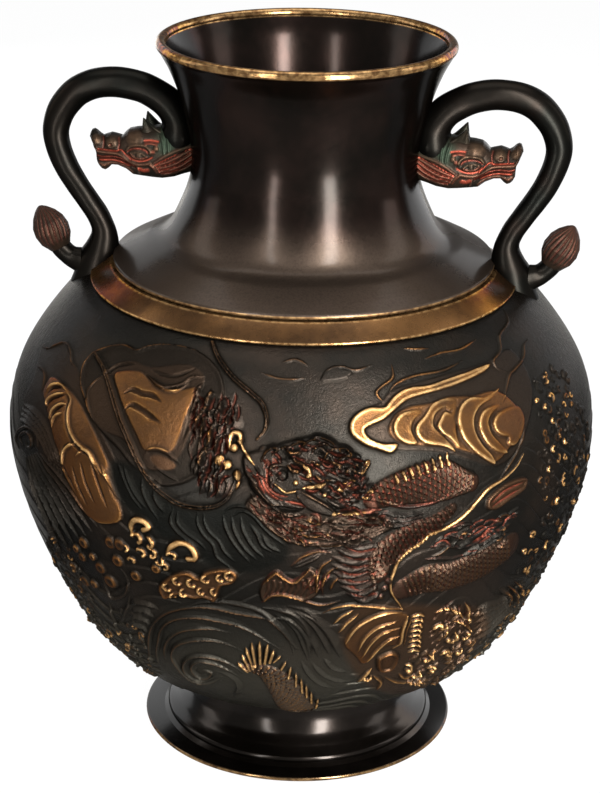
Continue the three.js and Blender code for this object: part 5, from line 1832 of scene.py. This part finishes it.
def head_rings(steps=220, sides=144):
    """The head skinned over ovals that stand across its length, with the relief on both sides."""
    nose = NOSE_X + (FACE_X - NOSE_X) * np.linspace(0, 1, NOSE_RINGS) ** 1.6
    x = np.concatenate([nose, np.linspace(FACE_X, HEAD_END_X, steps - NOSE_RINGS + 1)[1:]])
    lines = (HEAD_TOP, HEAD_BOTTOM, HEAD_WIDTHS)
    top, bottom, width = (np.interp(x, *np.array(line, float).T) for line in lines)
    turn = 2 * np.pi * (np.arange(sides) + 0.5) / sides
    c, s = np.cos(turn), np.sin(turn)
    flat = np.sign(c) * np.abs(c) ** 0.8
    z = (top + bottom)[:, None] / 2 + (top - bottom)[:, None] / 2 * s
    across = width[:, None] * flat
    xs = np.repeat(x[:, None], sides, 1)
    height, red, wear = head_detail(xs, z)
    face = smoothstep(np.abs(c), 0.08, 0.5)[None] * smoothstep(x, NOSE_X, 590)[:, None]
    across = across + np.sign(c) * height * face
    green = smoothstep(xs, 1080, 1220) * (1 - smoothstep(z, 250, 380)) + 0.5 * smoothstep(xs, 1300, 1500)
    masks = {
        "wear": wear * face,
        "red": red * face,
        "green": np.clip(green, 0, 1),
        "hollow": np.clip(-height, 0, 1),
    }
    return from_drawing(xs, across, z), masks


# An ear's middle line in the drawing, half its breadth there, and half its thickness in mm
EAR_PATH = np.array([(1108, 150), (1074, 98), (1048, 46), (1036, 20)], float)
EAR_PATH_PLACES, EAR_SIZE_PLACES = [0, 0.4, 0.8, 1], [0, 0.35, 0.8, 1]
EAR_LENGTHS, EAR_THICKNESSES = [100, 58, 21, 5], [2.6, 2.2, 1.3, 0.4]


def ear_rings(side, steps=24, sides=28):
    """A backswept ear with a hollow front."""
    share = np.linspace(0, 1, steps)
    x, z = (np.interp(share, EAR_PATH_PLACES, line) for line in EAR_PATH.T)
    long = np.interp(share, EAR_SIZE_PLACES, EAR_LENGTHS)
    thick = np.interp(share, EAR_SIZE_PLACES, EAR_THICKNESSES)
    turn = 2 * np.pi * np.arange(sides) / sides
    c, s = np.cos(turn), np.sin(turn)
    cup = 1 - 0.75 * np.clip(s, 0, 1) * np.clip(1 - (c / 0.6) ** 2, 0, 1)
    y = side * (5.0 + 2.6 * share[:, None] + thick[:, None] * s * cup)
    xs = x[:, None] + long[:, None] * c
    return from_drawing(xs, y, z[:, None] + 0 * y)


def ornament_patina():
    """Dark cast detail with red pigment in its lines, and green where it meets the neck."""
    g = Graph("ornament_bronze")
    fine = g.noise(380, 4, 0.65)
    tone = g.mix(g.span(g.noise(90, 4), 0.35, 0.7), HEAD_BLACK, HEAD_BROWN)
    green = g.times(g.attribute("green"), g.span(g.noise(150, 3), 0.3, 0.6, 0.2, 0.9))
    tone = g.mix(green, tone, VERDIGRIS)
    tone = g.mix(g.times(g.attribute("hollow"), 0.7), tone, HEAD_HOLLOW)
    worn = g.times(g.attribute("wear"), g.span(fine, 0.25, 0.6, 0.4, 1.0))
    tone = g.mix(worn, tone, HEAD_WEAR)
    red = g.times(g.attribute("red"), g.span(g.noise(160, 3), 0.25, 0.55, 0.35, 1.0))
    tone = g.mix(red, tone, HEAD_PIGMENT)
    g.bump(fine, 0.25, 0.0004)
    return g.finish(tone, g.span(fine, 0.3, 0.7, 0.3, 0.45), 0.6)


def bud_patina():
    """Dull brown with red in the flutes."""
    g = Graph("bud_bronze")
    fine = g.noise(420, 4, 0.6)
    tone = g.mix(g.span(g.noise(120, 4), 0.35, 0.65), BUD_BLACK, BUD_BROWN)
    tone = g.mix(g.times(g.attribute("red"), 0.8), tone, BUD_RED)
    tone = g.mix(g.span(g.noise(70, 3), 0.5, 0.75, 0.0, 0.6), tone, BUD_TAN)
    g.bump(fine, 0.25, 0.0004)
    return g.finish(tone, 0.42, 0.6)


def handle_piece(name, rings, turn, material, node=None, masks=None):
    """A closed piece of a handle over its rings, turned to the left side or not, in place of a node
    if it has one."""
    vertices, faces = closed_tube(rings)
    vertices = outside(vertices)
    if turn:
        vertices[:, :2] *= -1
    colours = {}
    for key, values in (masks or {}).items():
        colours[key] = np.concatenate([values[:1], values, values[-1:]])
    piece = mesh_object(name, vertices, faces, material, sharp=75, colours=colours)
    add_grid_uv(piece, len(rings) + 2, rings.shape[1], np.linspace(0, 1, len(rings) + 3)[:-1])
    if node:
        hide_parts(node)


handle_bronze = patina("handle_bronze", GREEN_BLACK, ARM_BROWN, 0.15, 0.32)
ornament_bronze = ornament_patina()
bud_bronze = bud_patina()
plain_bronze = patina("plain_bronze", BLACK, BROWN, 0.3, 0.45)


def repaint(node):
    """A CAD node that stays is given plain bronze."""
    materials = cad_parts[node].data.materials
    materials.clear()
    materials.append(plain_bronze)


def handle(side, turn):
    """One handle, drawn on the right and turned by half a turn for the left."""
    arm = swept(ARM, arm_radius, 200, round_at=hammered)
    handle_piece(f"arm_{side}", arm, turn, handle_bronze, f"handle_arm_{side}")
    stem = swept(STEM, stem_radius, 60)
    handle_piece(f"stem_{side}", stem, turn, handle_bronze)
    bud, groove = bud_rings()
    handle_piece(f"bud_{side}", bud, turn, bud_bronze, f"tail_tuft_{side}",
                 {"red": groove})
    head, masks = head_rings()
    handle_piece(f"head_{side}", head, turn, ornament_bronze, f"dragon_head_{side}",
                 masks)
    for number, way in ((1, 1), (2, -1)):
        ear = ear_rings(way)
        if way < 0:
            ear = ear[:, ::-1]
        shade = {"green": np.full(ear.shape[:2], 0.25)}
        handle_piece(f"ear{number}_{side}", ear, turn, ornament_bronze, masks=shade)
    repaint(f"neck_rivet_{side}")
    repaint(f"shoulder_rivet_{side}")


handle("right", False)
handle("left", True)
repaint("base_plate")


# Floor, light and backdrop

FLOOR_GLOW = 0.96


def white_share(nodes, links):
    """One for rays that should see plain white: those of the camera, and those mirrored or let through."""
    seen = nodes.new("ShaderNodeLightPath")
    share = seen.outputs["Is Camera Ray"]
    for ray in ("Is Glossy Ray", "Is Transmission Ray"):
        most = nodes.new("ShaderNodeMath")
        most.operation = "MAXIMUM"
        links.new(share, most.inputs[0])
        links.new(seen.outputs[ray], most.inputs[1])
        share = most.outputs[0]
    return share


def add_floor():
    """A plain floor that the camera sees as nearly white."""
    bpy.ops.mesh.primitive_plane_add(size=8, location=(0, 0, -0.0002))
    floor = bpy.context.object
    floor.name = "floor"
    material, nodes, links, shader = new_material("floor")
    shader.inputs["Base Color"].default_value = (0.86, 0.86, 0.86, 1)
    shader.inputs["Roughness"].default_value = 0.9
    glow = nodes.new("ShaderNodeEmission")
    glow.inputs["Strength"].default_value = 1.0
    share = nodes.new("ShaderNodeMath")
    share.operation = "MULTIPLY"
    share.inputs[1].default_value = FLOOR_GLOW
    links.new(white_share(nodes, links), share.inputs[0])
    blend = nodes.new("ShaderNodeMixShader")
    links.new(share.outputs[0], blend.inputs["Fac"])
    links.new(shader.outputs[0], blend.inputs[1])
    links.new(glow.outputs[0], blend.inputs[2])
    links.new(blend.outputs[0], nodes["Material Output"].inputs["Surface"])
    floor.data.materials.append(material)


def add_world():
    """A dim room for the light, and white for what the camera sees and what is mirrored."""
    world = bpy.data.worlds.new("studio")
    bpy.context.scene.world = world
    world.use_nodes = True
    nodes, links = world.node_tree.nodes, world.node_tree.links
    room = nodes["Background"]
    room.inputs["Color"].default_value = (0.9, 0.93, 1.0, 1)
    room.inputs["Strength"].default_value = 0.35
    white = nodes.new("ShaderNodeBackground")
    white.inputs["Strength"].default_value = 1.0
    blend = nodes.new("ShaderNodeMixShader")
    links.new(white_share(nodes, links), blend.inputs["Fac"])
    links.new(room.outputs[0], blend.inputs[1])
    links.new(white.outputs[0], blend.inputs[2])
    links.new(blend.outputs[0], nodes["World Output"].inputs["Surface"])


# Lamps: a place, what it shines at, its width and height in metres, and its power in watts
LAMPS = {
    "strip_left": ((-0.275, -0.59, 0.48), (0, 0, 0.48), 0.06, 0.9, 7),
    "strip_right": ((0.31, -0.57, 0.48), (0, 0, 0.48), 0.12, 0.9, 30),
    "overhead": ((0, 0.2, 1.7), (0, 0, 0.2), 1.5, 1.1, 23),
    "side_left": ((-1.6, 0.1, 0.9), (0, 0, 0.2), 0.5, 1.2, 9),
    "side_right": ((1.6, 0.1, 0.9), (0, 0, 0.2), 0.5, 1.2, 9),
    "rear_left": ((-1.0, 1.2, 0.55), (0, 0, 0.25), 1.2, 1.1, 24),
    "rear_right": ((1.0, 1.2, 0.55), (0, 0, 0.25), 1.2, 1.1, 32),
}


def add_lamp(name, place, aim, width, height, power):
    """A rectangular lamp."""
    data = bpy.data.lights.new(name, "AREA")
    data.shape = "RECTANGLE"
    data.size, data.size_y, data.energy = width, height, power
    lamp = bpy.data.objects.new(name, data)
    lamp.location = place
    lamp.rotation_euler = (Vector(aim) - Vector(place)).to_track_quat("-Z", "Y").to_euler()
    bpy.context.scene.collection.objects.link(lamp)


add_floor()
add_world()
for name, lamp in LAMPS.items():
    add_lamp(name, *lamp)
bpy.context.scene.view_settings.view_transform = "Standard"
